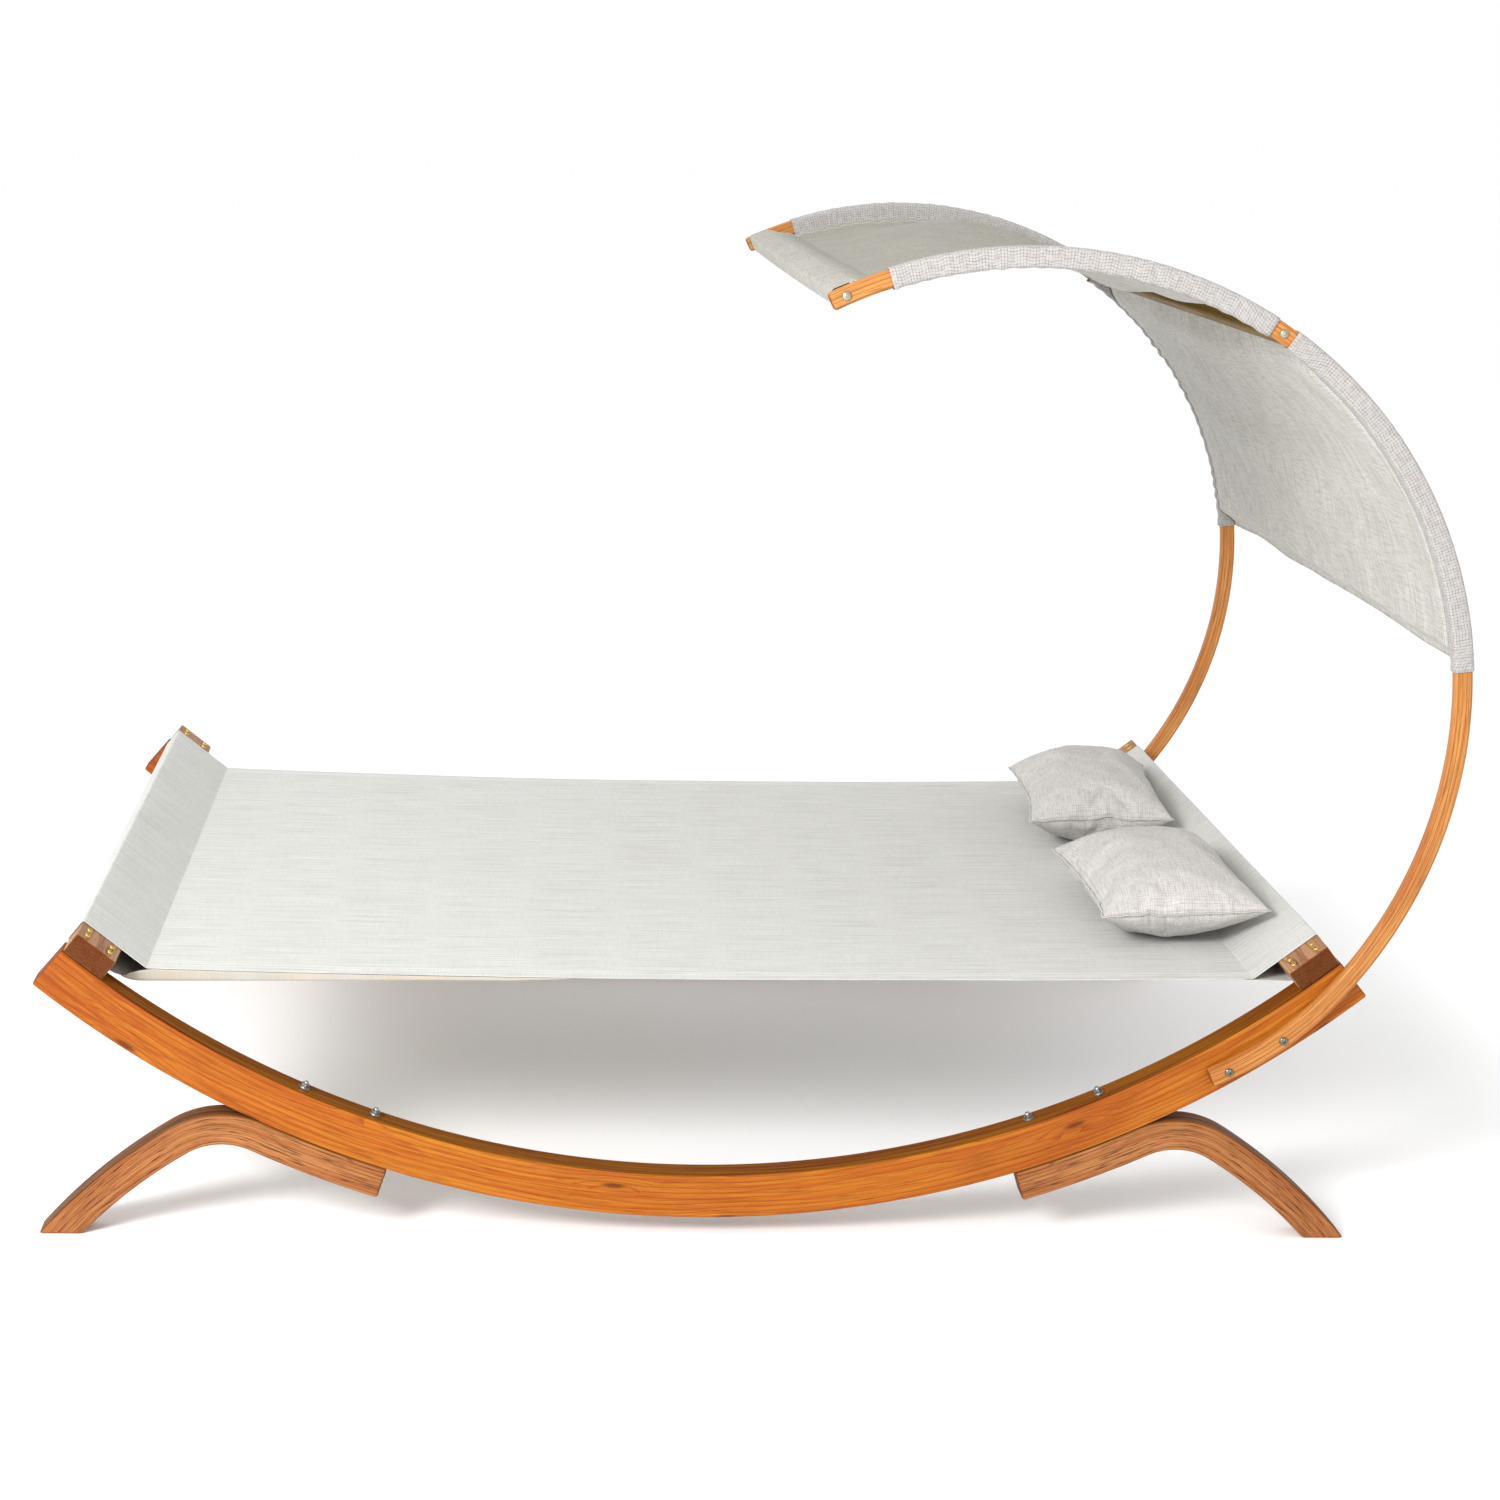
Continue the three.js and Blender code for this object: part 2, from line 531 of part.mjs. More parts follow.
function addArmBolts() {
  const clamped = ARM_THICKNESS + GAP + RAIL_WIDTH;
  const railBoltLength = clamped + depthOf(ARM_NUT);
  const barBoltLength = ARM_THICKNESS + BAR_BOLT_DEPTH;
  for (const [sideName, side] of Object.entries(SIDES)) {
    for (const [angleName, angle] of Object.entries(ARM_BOLT.angles)) {
      const place = armRailSeat(side, angle);
      const inside = place.clone().multiply(new THREE.Matrix4().makeTranslation(0, clamped + GAP, 0));
      const name = `${sideName}_${angleName}`;
      addSeated(`arm_bolt_${name}`, boltGeometry(ARM_BOLT, railBoltLength), ZINC, place);
      addSeated(`arm_nut_${name}`, nutGeometry(ARM_NUT, ARM_BOLT.radius), ZINC, inside);
    }
    for (const [barName, angle] of Object.entries(BAR_ANGLES)) {
      const name = `bar_bolt_${barName}_${sideName}`;
      addSeated(name, boltGeometry(ARM_BOLT, barBoltLength), ZINC, armBarSeat(side, angle));
    }
  }
}

function addPlankScrews() {
  for (const [sideName, side] of Object.entries(SIDES)) {
    for (const [endName, end] of Object.entries(ENDS)) {
      for (const [rowName, row] of Object.entries(SCREW_ROWS)) {
        for (const [columnName, column] of Object.entries(SCREW_COLUMNS)) {
          const name = `plank_screw_${endName}_${sideName}_${rowName}_${columnName}`;
          const screw = boltGeometry(SCREW, SCREW.length, SCREW_SIDES);
          addSeated(name, screw, YELLOW_ZINC, screwSeat(side, end, row, column));
        }
      }
    }
  }
}

addFrame();
addSoftPieces();
addLegBolts();
addArmBolts();
addPlankScrews();

// The origin lies on the floor, under the middle of the whole object.
const extent = new THREE.Box3().setFromObject(bed);
bed.position.x = -(extent.min.x + extent.max.x) / 2;

const dayBed = new THREE.Group();
dayBed.add(bed);
export default dayBed;
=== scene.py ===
"""A canopied double day bed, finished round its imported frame. Metres, +Z up, +X to the head end."""
import math

import bmesh
import bpy
import numpy as np
from mathutils import Matrix, Vector, noise


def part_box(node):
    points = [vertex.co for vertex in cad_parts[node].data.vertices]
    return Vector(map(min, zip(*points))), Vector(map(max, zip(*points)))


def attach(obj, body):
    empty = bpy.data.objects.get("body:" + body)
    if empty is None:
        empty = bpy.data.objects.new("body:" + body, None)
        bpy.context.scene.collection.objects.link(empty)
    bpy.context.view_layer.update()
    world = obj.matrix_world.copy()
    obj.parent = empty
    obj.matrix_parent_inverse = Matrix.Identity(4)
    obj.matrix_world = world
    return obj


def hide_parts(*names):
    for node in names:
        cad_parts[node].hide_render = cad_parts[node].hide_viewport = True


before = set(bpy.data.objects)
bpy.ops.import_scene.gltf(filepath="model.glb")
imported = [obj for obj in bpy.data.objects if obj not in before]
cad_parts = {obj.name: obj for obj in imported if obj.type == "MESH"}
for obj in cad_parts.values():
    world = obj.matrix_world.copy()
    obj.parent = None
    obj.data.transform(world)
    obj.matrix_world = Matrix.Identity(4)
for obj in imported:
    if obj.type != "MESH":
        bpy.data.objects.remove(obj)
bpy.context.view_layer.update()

# ---- Driving dimensions of the design. Angles are in degrees ----
RAIL_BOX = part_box("side_rail_right")
BED_X = (RAIL_BOX[0].x + RAIL_BOX[1].x) / 2
HALF_BED = -RAIL_BOX[0].y
RAIL_WIDTH = RAIL_BOX[1].y - RAIL_BOX[0].y
RAIL_DEPTH = 0.074
RAIL_TOP_RADIUS = 1.587
RAIL_END_ANGLE = 40.2
RAIL_CENTRE = Vector((BED_X, RAIL_BOX[0].z + RAIL_TOP_RADIUS + RAIL_DEPTH))
GAP = 0.0003                 # between wooden faces that touch

LEG_THICKNESS = 0.052
LEG_START_ANGLE = 18
LEG_CROWN_ANGLE = 25.3
LEG_CROWN_RADIUS = 0.107
LEG_SHIN_ANGLE = 58
LEG_SHIN_RADIUS = 0.85

PLANK_WIDTH = 0.076
PLANK_THICKNESS = 0.038
PLANK_ANGLE = 38.75
PLANK_SEAT_GAP = 0.0006

ARM_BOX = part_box("canopy_arm_right")
ARM_INNER_Y = -ARM_BOX[1].y
ARM_OUTER_Y = -ARM_BOX[0].y
ARM_DEPTH = 0.028
ARM_RADIUS = 0.711
ARM_CENTRE = Vector((BED_X + 0.464, 0.885))
ARM_TIP_ANGLE = 116.8
ARM_KNEE_ANGLE = -40
ARM_FOOT_RADIUS = 0.513
ARM_FOOT_ANGLE = -66.5
BAR_WIDTH = 0.030
BAR_ANGLES = {"front": 114.8, "mid": 58.5}

SLEEVE_END_ANGLE = 109       # the canopy's side sleeves stop short of the arms' tips
CANOPY_REAR_ANGLE = 7.0
WINDOW_LENGTH = 0.036        # bare arm at the mid bar
CLOTH = 0.0012               # thickness of one layer of sling or canopy cloth
CLOTH_GAP = 0.0014           # from wood to the middle of the cloth over it
CLOTH_PITCH = 0.0016         # of the weave
CHECK_PITCH = 0.0048         # of the darker yarns in the checked cloths
SLEEVE_INNER = ARM_RADIUS - ARM_DEPTH / 2 - CLOTH_GAP
SLEEVE_OUTER = ARM_RADIUS + ARM_DEPTH / 2 + CLOTH_GAP
SLEEVE_POINTS = 30
PUCKER_DEPTH = 0.0042        # of the side sleeves' gathers
PUCKER_PITCH = 0.028
PUCKER_REACH = 0.07          # how far the gathers run into the panel
PANEL_EDGE_Y = ARM_INNER_Y - CLOTH_GAP
PANEL_COLUMNS = 81
MID_BAR_RISE = (8.0, 1.7)    # how far from the mid bar the panel starts and ends its rise over it
FRONT_BAR_RISE = (5.9, 1.4)
REAR_HEM_RISE = (10.5, 7.2)  # between which angles the panel's edge rises to the rear hem's corners
REAR_HEM_BOW = 1.1
REAR_SAG = 0.014
FRONT_SAG = 0.021
# Share of painted light on the strip round the front bar: the outer cloth lightens there to its zone
# colour.
FRONT_STRIP_PAINTED_LIGHT = 0.55
CANOPY_CRUMPLES = (          # height; waves per metre along the arms, askew and across; seed
    (0.014, 3.4, 1.6, 3.0, 1.3),
    (0.0035, 9, -4, 6, 4.2),
    (0.0005, 30, 0, 24, 9.4),
)
CANOPY_FOLDS = (             # start and end, along the arms and in Y; height; width to each side
    ((1.142, 0.63), (0.800, 0.386), 0.024, 0.15, 0.045),
    ((0.440, 0.64), (0.250, -0.20), -0.013, 0.05, 0.09),
    ((0.330, 0.20), (0.200, -0.62), -0.010, 0.05, 0.08),
    ((0.560, 0.60), (0.470, -0.10), -0.008, 0.05, 0.08),
)

SLING_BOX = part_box("sling")
SLING_HALF_WIDTH = SLING_BOX[1].y
SLING_CREASE_X = 0.905       # from the bed's middle
SLING_CREASE_Z = 0.4335
SLING_SAG = 0.008
SLING_EDGE_DROP = 0.0035     # how far the long edges hang below the middle
SLING_WAIST = 0.006          # how far the long edges draw in
SLING_WAVES = (              # height; waves per metre along and across; seed
    (0.0012, 1.6, 9, 3.1),
    (0.0007, 3.0, 30, 7.7),
)
SLING_LAP_X = -0.234         # where the lower layer at the foot end is sewn off
SLING_LOWER_LAYER = ((-0.31, 0.4175), (-0.62, 0.4135), (-0.925, 0.4115))
SLING_TURN_UP = 0.975        # share of the width where the lower layer starts to turn up
SLING_SIDE = (               # section of the turned-up side, as shares of its width and its rise
    (0.5, 0.0), (0.86, 0.0), (0.96, 0.06), (1.0, 0.2),
    (1.0, 0.4), (1.0, 0.6), (1.0, 0.8), (1.0, 1.0),
)
SLING_SIDE_LEAD = 0.048      # how far that side reaches past the crease

SIDES = {"right": -1, "left": 1}
ENDS = {"foot": -1, "head": 1}
LEG_BOLT_ANGLES = {"inner": 19.7, "outer": 24.1}
ARM_BOLT_ANGLES = {"lower": -63, "upper": -51.7}
SCREW_ROWS = {"lower": -0.022, "upper": 0.022}
SCREW_COLUMNS = {"inner": 0.658, "outer": 0.682}


def on_circle(centre, radius, angle):
    """A point in X and Z on a circle. Angles run from +X towards +Z."""
    turn = math.radians(angle)
    return centre + radius * Vector((math.cos(turn), math.sin(turn)))


def arc(centre, radius, start, end, steps):
    return [on_circle(centre, radius, start + (end - start) * i / steps) for i in range(steps + 1)]


ARM_FOOT_CENTRE = on_circle(ARM_CENTRE, ARM_RADIUS - ARM_FOOT_RADIUS, ARM_KNEE_ANGLE)


def blend(low, high, value):
    """0 below low, 1 above high, with a smooth rise between."""
    share = min(1.0, max(0.0, (value - low) / (high - low)))
    return share * share * (3 - 2 * share)


def line_lengths(line):
    """Distances along a line, from its first point to each of its points."""
    return np.cumsum([0.0] + [(b - a).length for a, b in zip(line, line[1:])])


def point_at(distance, lengths, line):
    """The point in X and Z at a distance, on a line with points at the given lengths."""
    return Vector([np.interp(distance, lengths, [p[k] for p in line]) for k in (0, 1)])


def new_object(name, data):
    """A new object in the scene, round its mesh, camera or light."""
    made = bpy.data.objects.new(name, data)
    bpy.context.scene.collection.objects.link(made)
    return made


# ---- Camera at the photograph's viewing angle ----
CAMERA_PLACE = Vector((BED_X - 0.3461, -4.74, 1.8304))
CAMERA_PAN = 0.0667
CAMERA_TILT = 0.2444
CAMERA_ROLL = 0.0313
CAMERA_LENS = 64.08
CAMERA_SHIFT_X = 0.0533


def add_camera():
    data = bpy.data.cameras.new("camera")
    data.lens = CAMERA_LENS
    data.sensor_width = 36
    data.shift_x = CAMERA_SHIFT_X
    camera = new_object("camera", data)
    turn = Matrix.Rotation(-CAMERA_PAN, 4, "Z") @ Matrix.Rotation(math.pi / 2 - CAMERA_TILT, 4, "X")
    camera.matrix_world = Matrix.Translation(CAMERA_PLACE) @ turn @ Matrix.Rotation(CAMERA_ROLL, 4, "Z")
    bpy.context.scene.camera = camera


# ---- Materials ----
def srgb(red, green, blue):
    """A colour given in 0-255 steps, as the linear values that a shader takes."""
    parts = [c / 255 for c in (red, green, blue)]
    return tuple(p / 12.92 if p < 0.04045 else ((p + 0.055) / 1.055) ** 2.4 for p in parts) + (1,)


class Shader:
    """A material and short ways to add nodes to it."""

    def __init__(self, name):
        self.material = bpy.data.materials.new(name)
        self.material.use_nodes = True
        self.tree = self.material.node_tree
        self.surface = self.tree.nodes["Principled BSDF"]

    def add(self, kind, inputs, **settings):
        node = self.tree.nodes.new("ShaderNode" + kind)
        for key, value in settings.items():
            setattr(node, key, value)
        self.feed(node, inputs)
        return node

    def feed(self, node, inputs):
        for key, value in inputs.items():
            if isinstance(value, bpy.types.NodeSocket):
                self.tree.links.new(value, node.inputs[key])
            else:
                node.inputs[key].default_value = value

    def attribute(self, name, output="Vector"):
        return self.add("Attribute", {}, attribute_name=name).outputs[output]

    def scaled(self, vector, scale):
        return self.add("VectorMath", {0: vector, 1: scale}, operation="MULTIPLY").outputs[0]

    def parts(self, vector):
        return self.add("SeparateXYZ", {0: vector}).outputs

    def math(self, operation, first, second=0.0):
        return self.add("Math", {0: first, 1: second}, operation=operation).outputs[0]

    def times(self, first, second):
        return self.math("MULTIPLY", first, second)

    def plus(self, first, second):
        return self.math("ADD", first, second)

    def between(self, value, low, high, to_low=0.0, to_high=1.0):
        """The value carried smoothly from the range low..high to the range to_low..to_high."""
        inputs = {"Value": value, "From Min": low, "From Max": high, "To Min": to_low, "To Max": to_high}
        return self.add("MapRange", inputs, interpolation_type="SMOOTHSTEP").outputs[0]

    def noise(self, vector, scale, detail, roughness=0.55, distortion=0.0):
        inputs = {"Vector": self.scaled(vector, scale), "Scale": 1.0, "Detail": detail,
                  "Roughness": roughness, "Distortion": distortion}
        return self.add("TexNoise", inputs).outputs["Fac"]

    def mix(self, share, first, second):
        return self.add("Mix", {0: share, 6: first, 7: second}, data_type="RGBA").outputs[2]

    def bump(self, height, distance, strength):
        inputs = {"Height": height, "Distance": distance, "Strength": strength}
        self.feed(self.surface, {"Normal": self.add("Bump", inputs).outputs[0]})


def knots(shader, grain):
    """Where the dark knots are, and where the growth rings bend round them."""
    cell = shader.add("TexVoronoi", {"Vector": shader.scaled(grain, (5, 21, 0)), "Scale": 1.0},
                      voronoi_dimensions="2D")
    distance = cell.outputs["Distance"]
    chance = shader.between(shader.parts(cell.outputs["Color"])[0], 0.62, 0.64)
    knot = shader.times(shader.between(distance, 0.13, 0.04), chance)
    bend = shader.times(shader.between(distance, 0.5, 0.05), chance)
    return knot, bend


def growth_rings(shader, grain, spacing, bend):
    """The dark late wood of each ring, on lines that wander along the piece."""
    radial, across = shader.parts(grain)[1:3]
    place = shader.plus(radial, shader.times(across, 0.45))
    phase = shader.math("DIVIDE", place, spacing)
    wander = shader.noise(grain, (2.2, 14, 14), 3)
    drift = shader.noise(grain, (0.9, 5, 5), 1)
    for shift, share in ((wander, 4.4), (drift, 4.0), (bend, 1.6)):
        phase = shader.plus(phase, shader.times(shift, share))
    return shader.math("POWER", shader.math("FRACT", phase), 4.5)


def wood(name, tones, rings, pores, painted_shade_colour, laminations=0.0, coat=0.04, lines=(0.18, 0.62),
         gloss=0.16, red_end=0.0):
    """Wood with its grain along the piece. tones are pale, rich, red and dark; rings is the spacing of
    growth rings; pores is how dense the dark flecks are; painted_shade_colour is the painted shade laid
    on the concave face that painted_shade_face marks; laminations is the thickness of its layers; coat
    and gloss are how much its varnish and its bare surface shine; lines is how strong the growth rings
    are in pale and in rich wood; red_end is how much redder the piece is towards its first end."""
    pale, rich, red, dark = tones
    shader = Shader(name)
    grain = shader.attribute("grain")
    along, radial = shader.parts(grain)[0:2]
    knot, bend = knots(shader, grain)
    late = growth_rings(shader, grain, rings, bend)
    fibre = shader.noise(grain, (9, 520, 520), 4, 0.6)
    streak = shader.noise(grain, (3.5, 130, 130), 3, 0.6)
    patch = shader.noise(grain, (3.1, 11, 11), 2)
    flame = shader.noise(grain, (11, 95, 95), 4, 0.65, 0.6)
    pore = shader.noise(grain, (26, 480, 480), 2, 0.5)
    fleck = shader.between(pore, 0.66 - 0.1 * pores, 0.8 - 0.08 * pores)
    dash = shader.between(shader.noise(grain, (16, 290, 290), 3, 0.6), 0.56, 0.68)

    colour = shader.mix(shader.between(streak, 0.3, 0.72), pale, rich)
    colour = shader.mix(shader.between(patch, 0.5, 0.74, 0.0, 0.5), colour, red)
    if red_end:
        near_end = shader.between(along, 0.62, 0.04, 0.0, red_end)
        reddened = shader.times(near_end, shader.between(flame, 0.4, 0.62, 0.25, 1.0))
        colour = shader.mix(reddened, colour, red)
    ring_share = shader.between(patch, 0.25, 0.6, lines[0], lines[1])
    colour = shader.mix(shader.times(late, ring_share), colour, red)
    colour = shader.mix(shader.between(flame, 0.57, 0.7, 0.0, 0.55), colour, red)
    colour = shader.mix(shader.between(fibre, 0.42, 0.75, 0.0, 0.4), colour, dark)
    for mark, share in ((dash, 0.15 + 0.35 * pores), (fleck, 0.25 + 0.6 * pores), (knot, 0.8)):
        colour = shader.mix(shader.times(mark, share), colour, dark)
    if laminations:
        layer = shader.math("PINGPONG", shader.plus(radial, laminations / 2), laminations / 2)
        colour = shader.mix(shader.between(layer, 0.0009, 0.0002, 0.0, 0.5), colour, dark)
    # Painted shade: the marked upper face is darkened towards painted_shade_colour, for the shade it
    # lies in.
    face = shader.attribute("painted_shade_face", "Fac")
    shade = shader.mix(shader.between(streak, 0.35, 0.7), painted_shade_colour, dark)
    colour = shader.mix(shader.times(face, 0.9), colour, shade)
    end_grain = shader.attribute("end_face", "Fac")
    speckle = shader.noise(grain, (300, 700, 700), 2)
    end_colour = shader.mix(shader.between(speckle, 0.35, 0.7), dark, red)
    colour = shader.mix(shader.times(end_grain, 0.9), colour, end_colour)

    matt = shader.math("MAXIMUM", face, end_grain)
    shader.feed(shader.surface, {
        "Base Color": colour, "Roughness": shader.between(fibre, 0.3, 0.8, 0.38, 0.6),
        "Specular IOR Level": shader.between(matt, 0.0, 1.0, gloss, 0.03),
        "Coat Weight": coat, "Coat Roughness": 0.3})
    relief = shader.plus(shader.times(fibre, 0.7), shader.times(late, 0.4))
    shader.bump(shader.math("SUBTRACT", relief, shader.times(fleck, 0.9)), 0.0006, 0.6)
    return shader.material


def threads(shader, cloth):
    """The relief of a plain weave: warp over weft, then weft over warp."""
    turns = 2 * math.pi / CLOTH_PITCH
    x, y = shader.parts(shader.scaled(cloth, (turns, turns, 1)))[0:2]
    warp = shader.math("ABSOLUTE", shader.math("SINE", shader.times(x, 0.5)))
    weft = shader.math("ABSOLUTE", shader.math("SINE", shader.times(y, 0.5)))
    checker = shader.times(shader.math("SINE", x), shader.math("SINE", y))
    share = shader.between(checker, -0.2, 0.2)
    over = shader.times(warp, share)
    return shader.plus(over, shader.times(weft, shader.math("SUBTRACT", 1.0, share)))


def slub_cloth(name, base, tints, along, across, widths, cloud, second=None, check=0.0,
               relief_share=0.7):
    """Slubbed cloth. tints are (colour, strength) for the slubs along and across the cloth. along and
    across are the lengths of those slubs, and widths their coarse and fine width. cloud is how strong
    the soft patches are. second is the colour of the zone marked on the mesh. check is how strong the
    fine darker yarns are that cross every few millimetres. relief_share is how far the slubs stand
    out beside the weave."""
    shader = Shader(name)
    cloth = shader.attribute("cloth")
    colour = base
    if second:
        colour = shader.mix(shader.attribute("zone", "Fac"), base, second)
    cloudy = shader.noise(cloth, (13, 13, 1), 4, 0.6)
    colour = shader.mix(shader.between(cloudy, 0.35, 0.7, 0.0, cloud), colour, tints[0][0])
    weave = threads(shader, cloth)
    relief = weave
    for (tint, strength), length, turned in zip(tints, (along, across), (False, True)):
        for width, share in zip(widths, (1.0, 0.8)):
            scale = (1 / width, 1 / length, 1) if turned else (1 / length, 1 / width, 1)
            slub = shader.between(shader.noise(cloth, scale, 3, 0.65), 0.46, 0.7)
            slub = shader.times(slub, share * strength)
            colour = shader.mix(slub, colour, tint)
            relief = shader.plus(relief, shader.times(slub, relief_share))
    if check:
        turns = math.pi / CHECK_PITCH
        uneven = shader.between(shader.noise(cloth, (140, 140, 1), 2), 0.3, 0.65, 0.25, 1.0)
        for part in shader.parts(shader.scaled(cloth, (turns, turns, 1)))[0:2]:
            wave = shader.math("ABSOLUTE", shader.math("SINE", part))
            yarn = shader.times(shader.between(wave, 0.55, 0.2, 0.0, check), uneven)
            colour = shader.mix(yarn, colour, tints[0][0])
    # Painted shade: the weave's low points, between the threads, are darkened.
    colour = shader.mix(shader.between(weave, 0.55, 0.15, 0.0, 0.35), colour, tints[1][0])
    shader.feed(shader.surface, {
        "Base Color": colour, "Roughness": shader.between(weave, 0, 1, 0.95, 0.75),
        "Sheen Weight": 0.15, "Sheen Roughness": 0.5, "Specular IOR Level": 0.25})
    shader.bump(relief, 0.0004, 0.7)
    return shader.material


def plated(name, colour, roughness):
    """Plated steel: an even colour, with fine wear in its gloss and surface."""
    shader = Shader(name)
    place = shader.add("TexCoord", {}).outputs["Object"]
    wear = shader.noise(place, (900, 900, 900), 3)
    rough = shader.between(wear, 0.3, 0.75, roughness, roughness + 0.2)
    shader.feed(shader.surface, {"Base Color": colour, "Metallic": 1.0, "Roughness": rough})
    shader.bump(wear, 0.0001, 0.3)
    return shader.material


def thread_material():
    """The pale sewing thread of hems and seams, with its twist."""
    shader = Shader("thread")
    place = shader.add("TexCoord", {}).outputs["Object"]
    twist = shader.noise(place, (1500, 1500, 1500), 2)
    rough = shader.between(twist, 0.3, 0.7, 0.6, 0.9)
    shader.feed(shader.surface, {"Base Color": srgb(216, 214, 206), "Roughness": rough})
    shader.bump(twist, 0.0002, 0.5)
    return shader.material


PINE = (srgb(179, 110, 27), srgb(166, 84, 14), srgb(139, 60, 10), srgb(82, 34, 4))
TEAK = (srgb(172, 115, 66), srgb(150, 87, 43), srgb(125, 63, 28), srgb(54, 25, 11))
MERANTI = (srgb(181, 139, 100), srgb(161, 113, 76), srgb(98, 42, 8), srgb(64, 28, 4))
ASH = (srgb(195, 137, 73), srgb(182, 115, 54), srgb(155, 79, 34), srgb(88, 43, 16))
# The arms' ash darkened: painted shade for the bars in the canopy's shade.
SHADED_ASH = (srgb(122, 94, 26), srgb(104, 76, 16), srgb(86, 58, 10), srgb(48, 30, 5))
MATERIALS = {
    # The colour after pores on the rail and leg lines is the painted shade of their upper faces.
    "rail_wood": wood("rail_wood", PINE, 0.0085, 0.35, srgb(124, 74, 12), lines=(0.5, 1.0), red_end=0.8),
    "leg_wood": wood("leg_wood", TEAK, 0.006, 1.05, srgb(112, 70, 30), 0.013),
    "plank_wood": wood("plank_wood", MERANTI, 0.007, 0.7, MERANTI[1]),
    "arm_wood": wood("arm_wood", ASH, 0.005, 0.5, ASH[1], 0.007, 0.06),
    "painted_shade_bar_wood": wood("painted_shade_bar_wood", SHADED_ASH, 0.005, 0.45, SHADED_ASH[1], coat=0.0, gloss=0.03),
    "sling_cloth": slub_cloth(
        "sling_cloth", srgb(209, 209, 205), ((srgb(163, 162, 156), 0.7), (srgb(181, 180, 176), 0.35)),
        0.16, 0.05, (0.0032, 0.0014), 0.06, srgb(176, 165, 147)),
    # The canopy's outer side: the same cloth as canopy_lining, darkened by painted shade because its
    # upper side gets less light.
    "canopy_cloth": slub_cloth(
        "canopy_cloth", srgb(159, 157, 145), ((srgb(119, 117, 102), 0.6), (srgb(125, 121, 108), 0.6)),
        # The second colour is painted light, for the strip round the front bar.
        0.022, 0.026, (0.0034, 0.0016), 0.25, srgb(200, 198, 192), relief_share=0.25),
    "canopy_lining": slub_cloth(
        "canopy_lining", srgb(208, 206, 201), ((srgb(149, 148, 138), 0.75), (srgb(153, 149, 142), 0.6)),
        0.12, 0.05, (0.0050, 0.0024), 0.25, check=0.25, relief_share=0.25),
    "sleeve_cloth": slub_cloth(
        "sleeve_cloth", srgb(192, 189, 186), ((srgb(124, 117, 115), 0.3), (srgb(130, 125, 124), 0.35)),
        0.022, 0.025, (0.0026, 0.0014), 0.08, check=0.75, relief_share=0.4),
    "pillow_linen": slub_cloth(
        "pillow_linen", srgb(210, 207, 203), ((srgb(150, 144, 141), 0.3), (srgb(140, 134, 131), 0.42)),
        0.022, 0.034, (0.0028, 0.0014), 0.08, check=0.5, relief_share=0.35),
    "zinc": plated("zinc", srgb(162, 166, 166), 0.24),
    "nickel": plated("nickel", srgb(172, 166, 148), 0.3),
    "dark_zinc": plated("dark_zinc", srgb(118, 120, 110), 0.2),
    "yellow_zinc": plated("yellow_zinc", srgb(226, 192, 92), 0.2),
    "thread": thread_material(),
}


# ---- Mesh helpers ----
EDGE_STEPS = 4               # points round each eased edge


def make_piece(name, slot_name, vertices, faces, attributes, body="bed_frame", material=None):
    """A smooth mesh piece from points, faces and named point attributes, riding on its body."""
    mesh = bpy.data.meshes.new(name)
    mesh.from_pydata([tuple(v) for v in vertices], [], faces)
    for key, values in attributes.items():
        is_vector = hasattr(values[0], "__len__")
        layer = mesh.attributes.new(key, "FLOAT_VECTOR" if is_vector else "FLOAT", "POINT")
        flat = np.array(values, dtype=np.float32).ravel()
        layer.data.foreach_set("vector" if is_vector else "value", flat)
    mesh.polygons.foreach_set("use_smooth", [True] * len(mesh.polygons))
    mesh.materials.append(MATERIALS[material or slot_name])
    piece = new_object(name, mesh)
    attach(piece, body)
    return piece


def face_outwards(piece):
    shape = bmesh.new()
    shape.from_mesh(piece.data)
    bmesh.ops.recalc_face_normals(shape, faces=shape.faces)
    shape.to_mesh(piece.data)
    shape.free()


def keep_flats_flat(piece):
    """Large flat faces keep their own normals beside the rounded edges."""
    modifier = piece.modifiers.new("flat_faces", "WEIGHTED_NORMAL")
    modifier.weight = 100
    modifier.keep_sharp = True


def ring_faces(ring_count, ring_size, loop_rings=False):
    """Quads between rings of points. With loop_rings the last ring joins the first."""
    faces = []
    for ring in range(ring_count if loop_rings else ring_count - 1):
        start, after = ring * ring_size, (ring + 1) % ring_count * ring_size
        for i in range(ring_size):
            j = (i + 1) % ring_size
            faces.append((start + i, start + j, after + j, after + i))
    return faces


def capped_faces(ring_count, ring_size):
    """Quads between rings of points, with a face over the first ring and one over the last."""
    last = (ring_count - 1) * ring_size
    caps = [tuple(range(ring_size)), tuple(range(last, last + ring_size))]
    return ring_faces(ring_count, ring_size) + caps


def rounded_section(half_a, half_b, radius):
    """Points round a rectangle with rounded corners, as pairs from its middle."""
    points = []
    for turn, sign_a, sign_b in ((0, 1, 1), (90, -1, 1), (180, -1, -1), (270, 1, -1)):
        for step in range(EDGE_STEPS + 1):
            angle = math.radians(turn + 90 * step / EDGE_STEPS)
            a = sign_a * (half_a - radius) + radius * math.cos(angle)
            b = sign_b * (half_b - radius) + radius * math.sin(angle)
            points.append((a, b))
    return points


def eased_end(edge):
    """Distances from an end of a piece, and how far its section is drawn in at each."""
    turns = [math.pi / 2 * i / EDGE_STEPS for i in range(EDGE_STEPS + 1)]
    return [(edge * (1 - math.cos(t)), edge * (1 - math.sin(t))) for t in turns]


